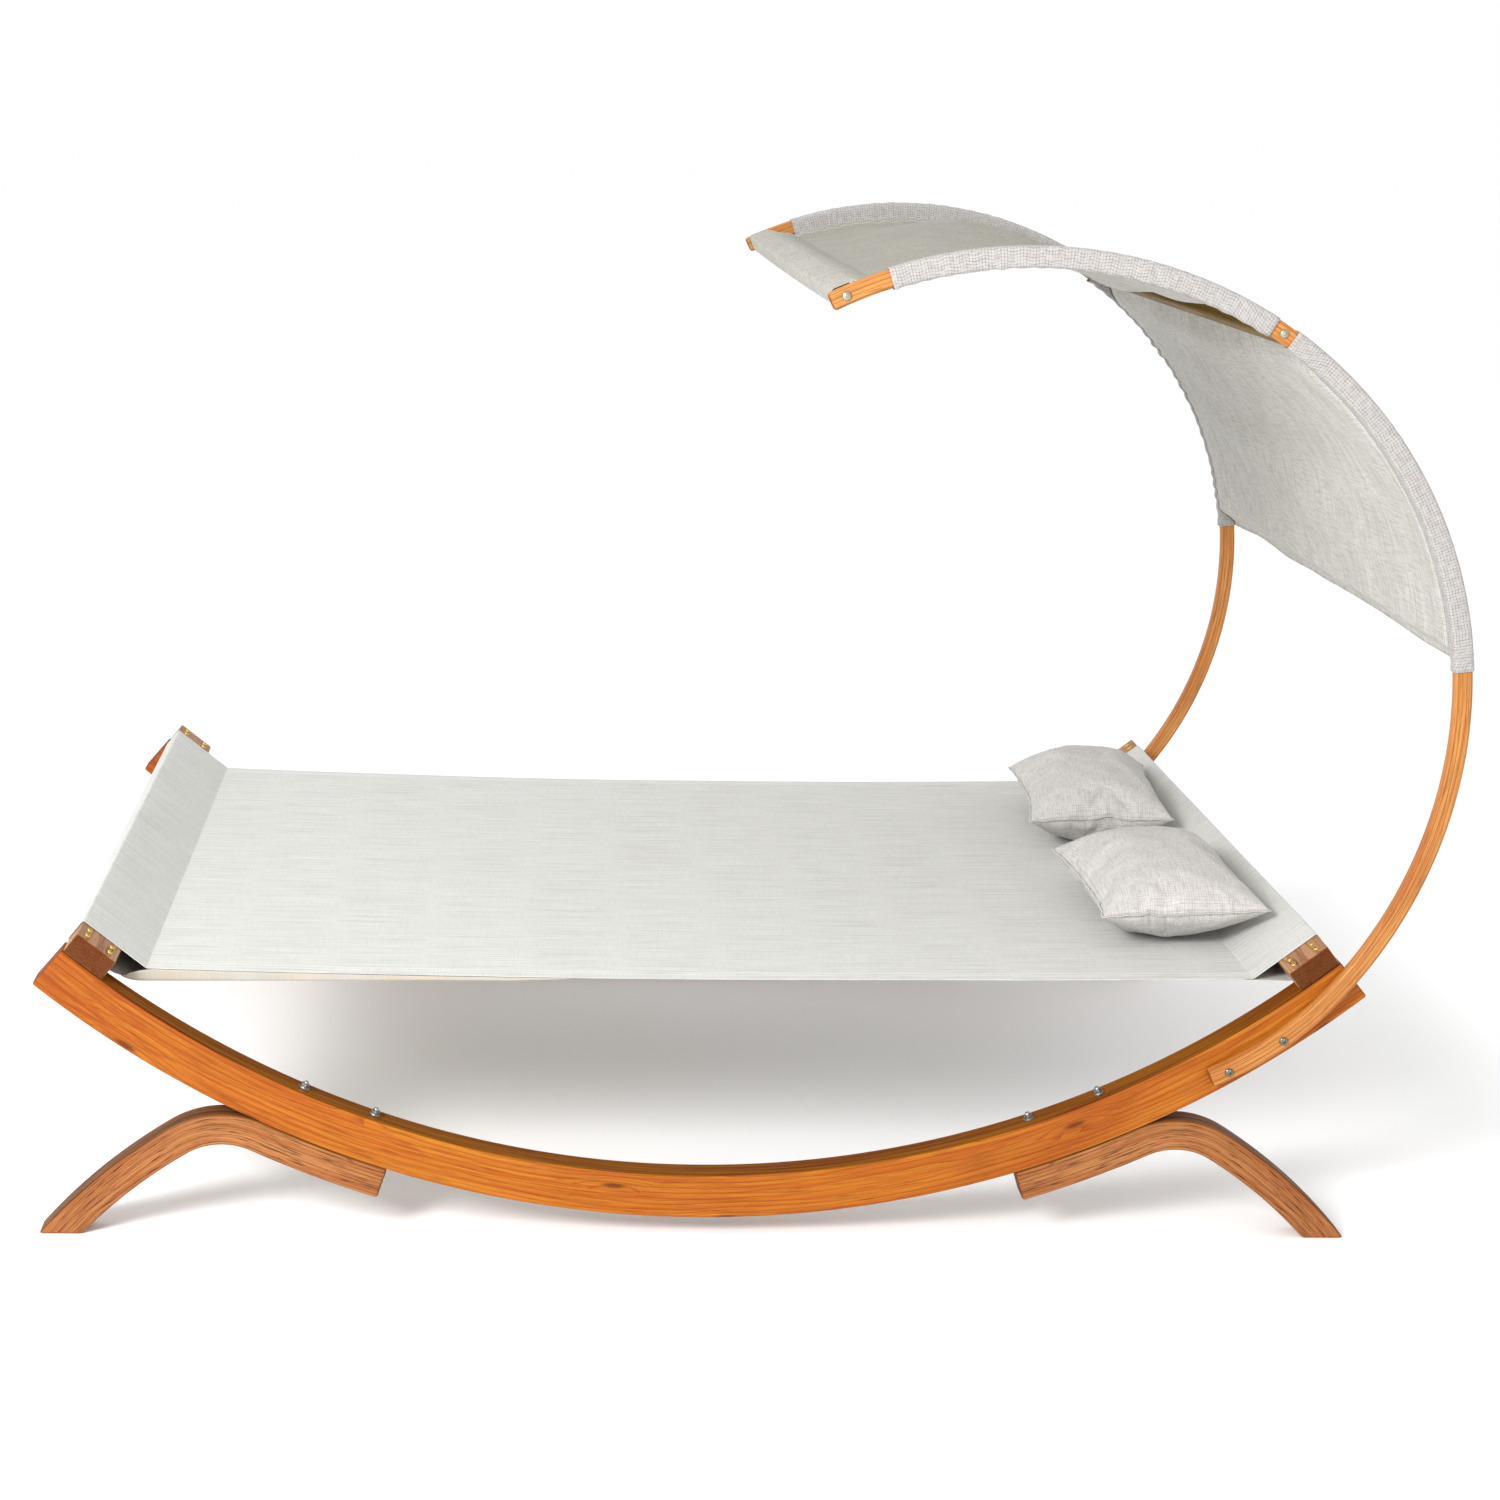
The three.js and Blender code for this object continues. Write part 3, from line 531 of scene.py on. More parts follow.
def eased_section(half_a, half_b, edge, inset):
    """A rounded section, drawn in all round by an inset."""
    return rounded_section(half_a - inset, half_b - inset, max(edge - inset, edge * 0.2))


def place_wood(node, slot_name, vertices, ring_size, attributes, material=None):
    """The wooden piece on rings of points that stands for a CAD node."""
    faces = capped_faces(len(vertices) // ring_size, ring_size)
    piece = make_piece(node + "_wood", slot_name, vertices, faces, attributes, material=material)
    face_outwards(piece)
    keep_flats_flat(piece)
    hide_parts(node)


# ---- Wooden pieces ----
def wooden_piece(node, slot_name, inner, outer, middle_y, half_width, edge, painted_shade_inner=False):
    """Wood swept between two lines of points in X and Z, with eased edges and ends. It stands for the
    CAD node of the same name. painted_shade_inner marks the face along the inner line for painted shade."""
    middle = [(a + b) / 2 for a, b in zip(inner, outer)]
    lengths = line_lengths(middle)
    total = float(lengths[-1])
    places = eased_end(edge)
    places += [(float(d), 0.0) for d in lengths if edge * 1.5 < d < total - edge * 1.5]
    places += [(total - d, inset) for d, inset in reversed(eased_end(edge))]
    vertices, grain, painted_shade_face, end_face = [], [], [], []
    for distance, inset in places:
        pair = [point_at(distance, lengths, line) for line in (inner, outer)]
        centre, half = (pair[0] + pair[1]) / 2, (pair[1] - pair[0]) / 2
        direction = half.normalized()
        section = eased_section(half.length, half_width, edge, inset)
        for a, b in section:
            place = centre + direction * a
            vertices.append((place.x, middle_y + b, place.y))
            grain.append((distance, a, b))
            # Marks the upper face along the inner line for painted shade.
            painted_shade_face.append(1.0 if painted_shade_inner and a < -half.length + edge * 0.6 else 0.0)
            end_face.append(blend(edge * 0.6, 0, min(distance, total - distance)))
    attributes = {"grain": grain, "painted_shade_face": painted_shade_face, "end_face": end_face}
    place_wood(node, slot_name, vertices, len(section), attributes)


def side_rails():
    start, end = -90 - RAIL_END_ANGLE, -90 + RAIL_END_ANGLE
    top = arc(RAIL_CENTRE, RAIL_TOP_RADIUS, start, end, 110)
    bottom = arc(RAIL_CENTRE, RAIL_TOP_RADIUS + RAIL_DEPTH, start, end, 110)
    for name, side in SIDES.items():
        middle_y = side * (HALF_BED - RAIL_WIDTH / 2)
        node = f"side_rail_{name}"
        wooden_piece(node, "rail_wood", top, bottom, middle_y, RAIL_WIDTH / 2, 0.0035, painted_shade_inner=True)


def leg_lines():
    """The upper and lower line of the head end's leg, from under the rail to the floor."""
    top_radius = RAIL_TOP_RADIUS + RAIL_DEPTH + GAP
    under_radius = top_radius + LEG_THICKNESS
    start, bend = -90 + LEG_START_ANGLE, -90 + LEG_CROWN_ANGLE
    crown = on_circle(RAIL_CENTRE, under_radius + LEG_CROWN_RADIUS, bend)
    shin = on_circle(crown, LEG_CROWN_RADIUS - LEG_SHIN_RADIUS, LEG_SHIN_ANGLE)
    lines = []
    for rail_radius, thickness in ((top_radius, LEG_THICKNESS), (under_radius, 0)):
        shin_radius = LEG_SHIN_RADIUS + thickness
        floor_angle = math.degrees(math.asin(-shin.y / shin_radius))
        line = arc(RAIL_CENTRE, rail_radius, start, bend, 14)
        line += arc(crown, LEG_CROWN_RADIUS + thickness, bend + 180, LEG_SHIN_ANGLE, 26)[1:]
        line += arc(shin, shin_radius, LEG_SHIN_ANGLE, floor_angle, 24)[1:]
        lines.append(line)
    return lines


def legs():
    upper, lower = leg_lines()
    for end_name, end in ENDS.items():
        lines = [[Vector((BED_X + end * (p.x - BED_X), p.y)) for p in line] for line in (upper, lower)]
        for name, side in SIDES.items():
            middle_y = side * (HALF_BED - RAIL_WIDTH / 2)
            node = f"leg_{end_name}_{name}"
            wooden_piece(node, "leg_wood", *lines, middle_y, RAIL_WIDTH / 2, 0.005, painted_shade_inner=True)


def plank_frame(end):
    """The middle of an end plank's section, its direction up the slope and its upward normal."""
    under = math.sqrt((RAIL_TOP_RADIUS - PLANK_SEAT_GAP) ** 2 - (PLANK_WIDTH / 2) ** 2)
    middle = on_circle(RAIL_CENTRE, under - PLANK_THICKNESS / 2, -90 + end * PLANK_ANGLE)
    up = (RAIL_CENTRE - middle).normalized()
    return middle, Vector((end * abs(up.y), abs(up.x))), up


def straight_block(node, slot_name, centre, across, thick, width, thickness, edge, material=None):
    """A straight bar from side to side of the bed. across and thick are its section's directions."""
    low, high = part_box(node)
    places = [(low.y + d, inset) for d, inset in eased_end(edge)]
    places += [(i * 0.1, 0.0) for i in range(-6, 7)]
    places += [(high.y - d, inset) for d, inset in reversed(eased_end(edge))]
    vertices, grain, end_face = [], [], []
    for y, inset in places:
        section = eased_section(width / 2, thickness / 2, edge, inset)
        for a, b in section:
            place = centre + across * a + thick * b
            vertices.append((place.x, y, place.y))
            grain.append((y, b, a))
            end_face.append(blend(edge * 0.6, 0, min(y - low.y, high.y - y)))
    attributes = {"grain": grain, "painted_shade_face": [0.0] * len(vertices), "end_face": end_face}
    place_wood(node, slot_name, vertices, len(section), attributes, material)


def end_planks():
    for name, end in ENDS.items():
        middle, along, up = plank_frame(end)
        node = f"end_plank_{name}"
        straight_block(node, "plank_wood", middle, along, up, PLANK_WIDTH, PLANK_THICKNESS, 0.003)


def canopy_bars():
    for name, angle in BAR_ANGLES.items():
        centre = on_circle(ARM_CENTRE, ARM_RADIUS, angle)
        out = (centre - ARM_CENTRE).normalized()
        tangent = Vector((-out.y, out.x))
        node = f"canopy_bar_{name}"
        # The bars share the arms' ash, darkened by painted shade.
        straight_block(node, "arm_wood", centre, tangent, out, BAR_WIDTH, ARM_DEPTH, 0.004, "painted_shade_bar_wood")


def canopy_arms():
    half = ARM_DEPTH / 2
    lines = []
    for offset in (-half, half):
        line = arc(ARM_FOOT_CENTRE, ARM_FOOT_RADIUS + offset, ARM_FOOT_ANGLE, ARM_KNEE_ANGLE, 18)
        line += arc(ARM_CENTRE, ARM_RADIUS + offset, ARM_KNEE_ANGLE, ARM_TIP_ANGLE, 100)[1:]
        lines.append(line)
    for name, side in SIDES.items():
        middle_y = side * (ARM_INNER_Y + ARM_OUTER_Y) / 2
        half_width = (ARM_OUTER_Y - ARM_INNER_Y) / 2
        node = f"canopy_arm_{name}"
        wooden_piece(node, "arm_wood", *lines, middle_y, half_width, 0.005)


# ---- Fasteners. Each is built along +Z from its seat at the origin, then put in place ----
TURNED_SIDES = 36


def hexagon(across):
    """Radius of a hexagon at an angle, from its width across flats."""
    return lambda angle: across / 2 / math.cos((angle % (math.pi / 3)) - math.pi / 6)


def cross(reach, width):
    """Radius of a cross recess at an angle."""
    def radius(angle):
        c, s = abs(math.cos(angle)) + 1e-6, abs(math.sin(angle)) + 1e-6
        return max(min(reach / c, width / 2 / s), min(reach / s, width / 2 / c))
    return radius


def turned_piece(name, slot_name, rings, place, hollow=False, material=None):
    """Rings of (radius or radius at an angle, height) round an axis, closed into one solid. A hollow
    piece joins its last ring to its first."""
    vertices = []
    for radius, height in rings:
        for i in range(TURNED_SIDES):
            angle = 2 * math.pi * i / TURNED_SIDES
            r = radius(angle) if callable(radius) else radius
            vertices.append(place @ Vector((r * math.cos(angle), r * math.sin(angle), height)))
    if hollow:
        faces = ring_faces(len(rings), TURNED_SIDES, True)
    else:
        faces = capped_faces(len(rings), TURNED_SIDES)
    piece = make_piece(name + "_steel", slot_name, vertices, faces, {}, material=material)
    face_outwards(piece)
    for polygon in piece.data.polygons:
        polygon.use_smooth = len(polygon.vertices) == 4
    piece.data.set_sharp_from_angle(angle=math.radians(35))
    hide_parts(name)


def bolt_rings(head, dome, shank, length, recess, recess_depth, pitch=0.0012, threaded=0.012):
    """A domed head with a recess, a plain shank and a threaded end, from the head's top down."""
    rings = [(0.0002, dome - recess_depth), (recess, dome - recess_depth), (recess, dome * 0.97)]
    for share in (0.62, 0.76, 0.88, 0.96, 1.0):
        rings.append((head * share, dome * (0.3 + 0.7 * math.sqrt(max(0, 1 - share ** 2)))))
    rings += [(head, 0.0003), (shank, 0.0003), (shank, threaded - length)]
    steps = int(threaded / pitch) - 1
    for i in range(1, steps):
        depth = threaded - length - pitch * i
        rings += [(shank, depth), (shank * 0.86, depth - pitch / 2)]
    rings += [(shank * 0.8, -length + 0.0004), (shank * 0.6, -length)]
    return rings


def nut_rings(across, height, washer, plate, bore):
    """A washer with a chamfered hexagon nut on it, round a bore."""
    wide = hexagon(across)

    def chamfered(angle):
        return min(wide(angle), across / math.sqrt(3) * 0.93)

    return [
        (bore, 0), (washer - 0.0003, 0), (washer, 0.0003), (washer, plate - 0.0003),
        (washer - 0.0003, plate), (chamfered, plate), (wide, plate + height * 0.1),
        (wide, plate + height * 0.88), (chamfered, plate + height), (bore, plate + height),
    ]


LEG_BOLT = {
    "head": 0.010, "dome": 0.0045, "shank": 0.004, "recess": hexagon(0.005), "recess_depth": 0.003,
}
LEG_BOLT_PAST = 0.0121       # bolt past the clamped wood
LEG_NUT = {"across": 0.013, "height": 0.0065, "washer": 0.009, "plate": 0.0016, "bore": 0.0043}
ARM_BOLT = {
    "head": 0.007, "dome": 0.0045, "shank": 0.003, "recess": hexagon(0.005), "recess_depth": 0.0028,
}
ARM_BOLT_PAST = 0.0094
ARM_NUT = {"across": 0.010, "height": 0.005, "washer": 0.0065, "plate": 0.0014, "bore": 0.0033}
BAR_BOLT_BITE = 0.035        # how far a bar bolt goes into the end of its bar
PLANK_SCREW = {
    "head": 0.005, "dome": 0.0028, "shank": 0.0024, "length": 0.06, "recess": cross(0.0026, 0.0012),
    "recess_depth": 0.0018, "pitch": 0.002, "threaded": 0.045,
}


def seat(x, y, z, direction):
    """Puts +Z along a direction, at a point."""
    turn = Vector(direction).to_track_quat("Z", "Y").to_matrix().to_4x4()
    return Matrix.Translation((x, y, z)) @ turn


def leg_fasteners():
    under = RAIL_TOP_RADIUS + RAIL_DEPTH + GAP + LEG_THICKNESS
    clamped = LEG_THICKNESS + RAIL_DEPTH + 2 * GAP
    bolt = bolt_rings(length=clamped + LEG_BOLT_PAST, **LEG_BOLT)
    nut = nut_rings(**LEG_NUT)
    for end_name, end in ENDS.items():
        for side_name, side in SIDES.items():
            for angle_name, angle in LEG_BOLT_ANGLES.items():
                head = on_circle(RAIL_CENTRE, under, -90 + end * angle)
                up = (RAIL_CENTRE - head).normalized()
                y = side * (HALF_BED - RAIL_WIDTH / 2)
                name = f"{end_name}_{side_name}_{angle_name}"
                place = seat(head.x, y, head.y, (-up.x, 0, -up.y))
                turned_piece(f"leg_bolt_{name}", "zinc", bolt, place)
                top = head + up * clamped
                spun = seat(top.x, y, top.y, (up.x, 0, up.y)) @ Matrix.Rotation(angle * 1.7, 4, "Z")
                turned_piece(f"leg_nut_{name}", "zinc", nut, spun, hollow=True)


def arm_fasteners():
    clamped = ARM_OUTER_Y - HALF_BED + RAIL_WIDTH
    bolt = bolt_rings(length=clamped + ARM_BOLT_PAST, **ARM_BOLT)
    bar_bolt = bolt_rings(length=ARM_OUTER_Y - ARM_INNER_Y + BAR_BOLT_BITE, **ARM_BOLT)
    nut = nut_rings(**ARM_NUT)
    for side_name, side in SIDES.items():
        for angle_name, angle in ARM_BOLT_ANGLES.items():
            place = on_circle(ARM_FOOT_CENTRE, ARM_FOOT_RADIUS, angle)
            name = f"{side_name}_{angle_name}"
            outside = seat(place.x, side * ARM_OUTER_Y, place.y, (0, side, 0))
            turned_piece(f"arm_bolt_{name}", "zinc", bolt, outside, material="dark_zinc")
            inside = seat(place.x, side * (ARM_OUTER_Y - clamped - GAP), place.y, (0, -side, 0))
            turned_piece(f"arm_nut_{name}", "zinc", nut, inside, hollow=True)
        for bar_name, angle in BAR_ANGLES.items():
            place = on_circle(ARM_CENTRE, ARM_RADIUS, angle)
            outside = seat(place.x, side * ARM_OUTER_Y, place.y, (0, side, 0))
            name = f"bar_bolt_{bar_name}_{side_name}"
            turned_piece(name, "zinc", bar_bolt, outside, material="nickel")


def plank_screws():
    rings = bolt_rings(**PLANK_SCREW)
    for end_name, end in ENDS.items():
        middle, along, up = plank_frame(end)
        for side_name, side in SIDES.items():
            for row_name, row in SCREW_ROWS.items():
                for column_name, column in SCREW_COLUMNS.items():
                    point = middle + along * row + up * PLANK_THICKNESS / 2
                    spin = Matrix.Rotation(row * 40 + column * 90 + side + end, 4, "Z")
                    place = seat(point.x, side * column, point.y, (up.x, 0, up.y)) @ spin
                    name = f"plank_screw_{end_name}_{side_name}_{row_name}_{column_name}"
                    turned_piece(name, "yellow_zinc", rings, place)


# ---- Cloth ----
CORNER_STEPS = 6
STITCH_LENGTH = 0.0034
STITCH_PITCH = 0.0052
STITCH_RADIUS = 0.00045
STITCH_SIDES = 5
STITCH_SECTION = ((-0.5, 0.35), (-0.3, 1.0), (0.3, 1.0), (0.5, 0.35))    # shares of length and radius


def rounded_line(corners, radii, spacing):
    """A line of points through corners in X and Z, with an arc at each inner corner."""
    line = [corners[0]]
    for before, corner, after, radius in zip(corners, corners[1:], corners[2:], radii):
        a, b = (before - corner).normalized(), (after - corner).normalized()
        half = math.acos(max(-1, min(1, a.dot(b)))) / 2
        if radius < 1e-6 or half > math.radians(89):
            line.append(corner)
            continue
        longest = min((before - corner).length, (after - corner).length) * 0.49
        reach = min(radius / math.tan(half), longest)
        start, end = corner + a * reach, corner + b * reach
        for i in range(CORNER_STEPS + 1):
            t = i / CORNER_STEPS
            line.append(start * (1 - t) ** 2 + corner * 2 * t * (1 - t) + end * t ** 2)
    line.append(corners[-1])
    out = [line[0]]
    for a, b in zip(line, line[1:]):
        pieces = max(1, math.ceil((b - a).length / spacing))
        out += [a + (b - a) * i / pieces for i in range(1, pieces + 1)]
    return out


def faces_between(rows):
    """Quads between neighbouring rows of points, each given as its points' indices."""
    return [(a[c], a[c + 1], b[c + 1], b[c]) for a, b in zip(rows, rows[1:]) for c in range(len(a) - 1)]


def thicken(piece, other_materials=()):
    """Gives a sheet of cloth its thickness. With other materials, each face's other side has the next
    one."""
    solid = piece.modifiers.new("cloth_thickness", "SOLIDIFY")
    solid.thickness = CLOTH
    solid.offset = 0
    solid.material_offset = 1 if other_materials else 0
    for material in other_materials:
        piece.data.materials.append(MATERIALS[material])


def stitches(name, slot_name, runs, parent):
    """Short threads lying along lines. Each run is a list of (point, surface normal)."""
    vertices, faces = [], []
    for run in runs:
        points, normals = zip(*run)
        lengths = line_lengths(points)
        for i in range(int(lengths[-1] / STITCH_PITCH)):
            at = (i + 0.5) * STITCH_PITCH
            k = min(int(np.searchsorted(lengths, at)), len(points) - 1)
            share = (at - lengths[k - 1]) / max(lengths[k] - lengths[k - 1], 1e-9)
            centre = points[k - 1].lerp(points[k], share)
            normal = normals[k - 1].lerp(normals[k], share).normalized()
            along = (points[k] - points[k - 1]).normalized()
            side = along.cross(normal).normalized()
            start = len(vertices)
            for t, r in STITCH_SECTION:
                lift = STITCH_RADIUS * 0.55 * (1 - (2 * t) ** 2)
                for j in range(STITCH_SIDES):
                    turn = 2 * math.pi * j / STITCH_SIDES
                    off = (side * math.cos(turn) + normal * math.sin(turn)) * STITCH_RADIUS * r
                    vertices.append(centre + along * t * STITCH_LENGTH + off + normal * lift)
            thread = capped_faces(len(STITCH_SECTION), STITCH_SIDES)
            faces += [tuple(start + v for v in face) for face in thread]
    piece = make_piece(name, slot_name, vertices, faces, {}, material="thread")
    face_outwards(piece)
    piece.parent = parent
    return piece


def sling_top_z(x):
    """Height of the sling's top, from its distance to the bed's middle."""
    share = min(1.0, abs(x) / SLING_CREASE_X)
    return SLING_CREASE_Z - CLOTH / 2 - SLING_SAG * (1 - share ** 2)


def sling_end_corners(end):
    """Corners of the cloth round one end plank, from the crease over the top and back under."""
    middle, along, up = plank_frame(end)
    reach_along = PLANK_WIDTH / 2 + CLOTH_GAP
    reach_up = PLANK_THICKNESS / 2 + CLOTH_GAP
    return [
        middle + along * reach_along + up * reach_up,
        middle + along * reach_along - up * reach_up,
        middle - along * reach_along - up * reach_up,
    ]


def crease_point(end):
    """Where the cloth over the plank's top face meets the lying surface."""
    middle, along, up = plank_frame(end)
    start = middle + up * (PLANK_THICKNESS / 2 + CLOTH_GAP)
    return start + along * ((SLING_CREASE_Z - CLOTH / 2 - start.y) / along.y)


def sling_line():
    """The sling's side view: lower layer, foot plank, lying surface, head plank and its lap."""
    foot, head = crease_point(-1), crease_point(1)
    lap = [Vector((BED_X + SLING_LAP_X + 0.02, sling_top_z(SLING_LAP_X) - 0.0018))]
    lap += [Vector((BED_X + x, z)) for x, z in SLING_LOWER_LAYER]
    foot_corners = sling_end_corners(-1)
    head_corners = sling_end_corners(1)
    top = []
    steps = 24
    for i in range(1, steps):
        x = foot.x + (head.x - foot.x) * i / steps
        top.append(Vector((x, sling_top_z(x - BED_X))))
    head_lap = Vector((head.x - 0.012, head.y - 0.0026))
    corners = [*lap, foot_corners[2], foot_corners[1], foot_corners[0], foot]
    corners += [*top, head, *head_corners, head_lap]
    wide, tight = 0.06, 0.0045
    radii = [wide] * len(SLING_LOWER_LAYER) + [tight, tight, tight, 0.006]
    radii += [0.0] * (steps - 1) + [0.006, tight, tight, tight]
    return rounded_line(corners, radii, 0.02)


def nearest_row(line, point):
    """Which point of a line is nearest to a point."""
    return min(range(len(line)), key=lambda k: (line[k] - point).length)


def sling_columns():
    """Shares of the sling's half width at which it has a column of points."""
    inner = [i * SLING_TURN_UP / 28 for i in range(-28, 29)]
    steps = len(SLING_SIDE)
    side = [SLING_TURN_UP + (1 - SLING_TURN_UP) * i / steps for i in range(1, steps + 1)]
    return [-v for v in reversed(side)] + inner + side


def sling_row(p, columns, on_top, lower, crease):
    """A row of points across the sling, at a point of its side view. crease is the X of both creases."""
    x = p.x
    share = (x - crease[0]) / (crease[1] - crease[0])
    middle = math.sin(math.pi * min(1.0, max(0.0, share)))
    drop = SLING_EDGE_DROP * middle * (1.25 - 0.5 * share)
    side_start = x - crease[0] + SLING_SIDE_LEAD
    turned_up = lower and side_start > 0
    lapped = blend(0.014, 0.002, sling_top_z(x - BED_X) - p.y) if turned_up else 0.0
    edge_z = sling_top_z(max(x, crease[0]) - BED_X) - drop - CLOTH - 0.25 * max(0.0, crease[0] - x)
    row = []
    for v in columns:
        y, z = v * SLING_HALF_WIDTH, p.y
        if on_top:
            z -= drop * abs(v) ** 6
            for height, along, across, seed in SLING_WAVES:
                z += height * middle * noise.noise(Vector((x * along, y * across, seed)))
        z -= lapped * drop * abs(v) ** 6
        if turned_up and abs(v) > SLING_TURN_UP + 1e-6:
            step = round((abs(v) - SLING_TURN_UP) / (1 - SLING_TURN_UP) * len(SLING_SIDE)) - 1
            out, rise = SLING_SIDE[step]
            z += (edge_z - z) * rise * min(1.0, side_start / 0.02)
            y = math.copysign(SLING_TURN_UP + (1 - SLING_TURN_UP) * out, v) * SLING_HALF_WIDTH
        if 0 < share < 1:
            y -= math.copysign(SLING_WAIST * middle * abs(v) ** 3, v)
        row.append((x, y, z))
    return row


def sling_seams(vertices, columns, on_top):
    """Two lines of stitching beside each long edge of the lying surface, and one along each crease."""
    count = len(columns)
    up = Vector((0, 0, 1))
    lift = up * CLOTH / 2
    points = [Vector(v) for v in vertices]
    runs = []
    for inset_share in (0.955, 0.972):
        for side in (-1, 1):
            column = float(np.interp(side * inset_share, columns, range(count)))
            low = int(column)
            starts = [r * count + low for r, lies in enumerate(on_top) if lies]
            runs.append([(points[i].lerp(points[i + 1], column - low) + lift, up) for i in starts])
    last = len(on_top) - 1 - on_top[::-1].index(True)
    for r in (on_top.index(True), last):
        runs.append([(points[r * count + c] + lift, up) for c in range(1, count - 1)])
    return runs


def sling():
    """One cloth loop. Its lower layer turns up along both sides and is sewn to the lying surface."""
    line = sling_line()
    lengths = line_lengths(line)
    crease = [crease_point(end).x for end in (-1, 1)]
    foot_row = nearest_row(line, crease_point(-1))
    lower_end = nearest_row(line, sling_end_corners(-1)[2])
    on_top = [k > foot_row and crease[0] < p.x < crease[1] and p.y > sling_top_z(p.x - BED_X) - 0.002
              for k, p in enumerate(line)]
    columns = sling_columns()
    vertices, cloth, zone, rows = [], [], [], []
    for k, (p, distance) in enumerate(zip(line, lengths)):
        row = sling_row(p, columns, on_top[k], k < lower_end, crease)
        rows.append(range(len(vertices), len(vertices) + len(row)))
        vertices += row
        cloth += [(float(distance), y, 0.0) for _, y, _ in row]
        zone += [1.0 if k <= lower_end else 0.0] * len(row)
    attributes = {"cloth": cloth, "zone": zone}
    piece = make_piece("sling_cloth", "sling_cloth", vertices, faces_between(rows), attributes)
    thicken(piece)
    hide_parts("sling")
    seam_runs = sling_seams(vertices, columns, on_top)
    seams = stitches("sling_stitches", "sling_cloth", seam_runs, piece)


# ---- Canopy ----
def near_bar(angle):
    """1 where the canopy's panel passes over a bar, 0 where it is away from both bars."""
    mid = blend(*MID_BAR_RISE, abs(angle - BAR_ANGLES["mid"]))
    away, top = FRONT_BAR_RISE
    front = min(1.0, max(0.0, (away - BAR_ANGLES["front"] + angle) / (away - top)))
    return max(mid, front)


def canopy_folds(place):
    """Slack ridges in the canopy's panel, at a place along the arms and in Y."""
    total = 0.0
    for start, end, height, left_width, right_width in CANOPY_FOLDS:
        run = Vector(end) - Vector(start)
        direction = run.normalized()
        along = direction.dot(place - Vector(start)) / run.length
        if 0 < along < 1:
            beside = direction.cross(place - Vector(start))
            width = left_width if beside > 0 else right_width
            total += height * math.sin(math.pi * along) * math.exp(-(beside / width) ** 2)
    return total


def gather(side, angle):
    """How far a side sleeve's cloth is gathered into a pucker, at an angle along the arm."""
    place = math.radians(angle) * ARM_RADIUS
    phase = place * 2 * math.pi / PUCKER_PITCH + 3.5 * noise.noise(Vector((place * 11, side, 0)))
    calm = 0.2 if side < 0 and angle < BAR_ANGLES["mid"] else 1.0
    uneven = 0.3 + abs(noise.noise(Vector((place * 9, side * 5, 2)))) * 1.7
    return calm * (0.5 + 0.5 * math.sin(phase)) * uneven


def panel_edge_radius(angle, pucker=0.0):
    """Where the panel meets the sleeves: the arms' inner radius, and their outer radius at the rear hem
    and over the bars."""
    outer_share = max(blend(*REAR_HEM_RISE, angle), near_bar(angle))
    inner = SLEEVE_INNER + 0.0006 - PUCKER_DEPTH * pucker
    return inner + outer_share * (SLEEVE_OUTER - 0.0003 - inner)


def canopy_sag(angle, share):
    """How far the cloth hangs inside its edges. share runs from -1 to 1 across the bed."""
    hollow = 1 - share ** 2
    from_mid, from_front = angle - BAR_ANGLES["mid"], BAR_ANGLES["front"] - angle
    if from_mid < 0:
        return REAR_SAG * hollow * blend(1.8, 16.0, -from_mid)
    return FRONT_SAG * hollow * min(blend(1.8, 11.0, from_mid), blend(1.6, 14.0, from_front))


def canopy_crumple(angle, y):
    """Slack, folds and creases in the canopy, away from its bars."""
    place = Vector((math.radians(angle) * ARM_RADIUS, y))
    quiet = (1 - near_bar(angle)) * blend(0, 0.05, ARM_INNER_Y - abs(y))
    quiet *= blend(3.0, 15.0, BAR_ANGLES["front"] - angle)
    total = canopy_folds(place)
    for height, along, askew, across, seed in CANOPY_CRUMPLES:
        waves = Vector((place.x * along + place.y * askew, place.y * across, seed))
        total += height * noise.noise(waves)
    return quiet * total


def evenly(line, count):
    """A line's points moved to equal steps along it."""
    lengths = line_lengths(line)
    return [point_at(d, lengths, line) for d in np.linspace(0, lengths[-1], count)]


def sleeve_profile(side, angle):
    """Radius and Y round one arm: from the panel's edge, over the outer face, under the inner face and
    back to the panel's edge. The cloth is gathered a little along the arm."""
    pucker = gather(side, angle)
    low = SLEEVE_INNER - PUCKER_DEPTH * pucker
    high = SLEEVE_OUTER + 0.0008 * pucker
    inner_y = ARM_INNER_Y - CLOTH_GAP - 0.0006 * pucker
    outer_y = ARM_OUTER_Y + CLOTH_GAP + 0.0007 * pucker
    edge = panel_edge_radius(angle, pucker)
    corners = [(edge, PANEL_EDGE_Y), (high, inner_y), (high, outer_y), (low, outer_y), (low, inner_y),
               (edge - CLOTH, PANEL_EDGE_Y)]
    line = rounded_line([Vector(corner) for corner in corners], [0.005] * 4, 0.003)
    return [(p.x, side * p.y) for p in evenly(line, SLEEVE_POINTS)]


def canopy_stations():
    """Angles along the arms at which the cloth has a row of points, and the ends of its stretches."""
    half_window = math.degrees(WINDOW_LENGTH / 2 / ARM_RADIUS)
    stops = [CANOPY_REAR_ANGLE, BAR_ANGLES["mid"] - half_window, BAR_ANGLES["mid"] + half_window,
             SLEEVE_END_ANGLE, BAR_ANGLES["front"] - 1.3]
    angles = [stops[0]]
    for low, high in zip(stops, stops[1:]):
        pieces = max(4, round((high - low) / 0.42))
        angles += [low + (high - low) * i / pieces for i in range(1, pieces + 1)]
    return angles, stops


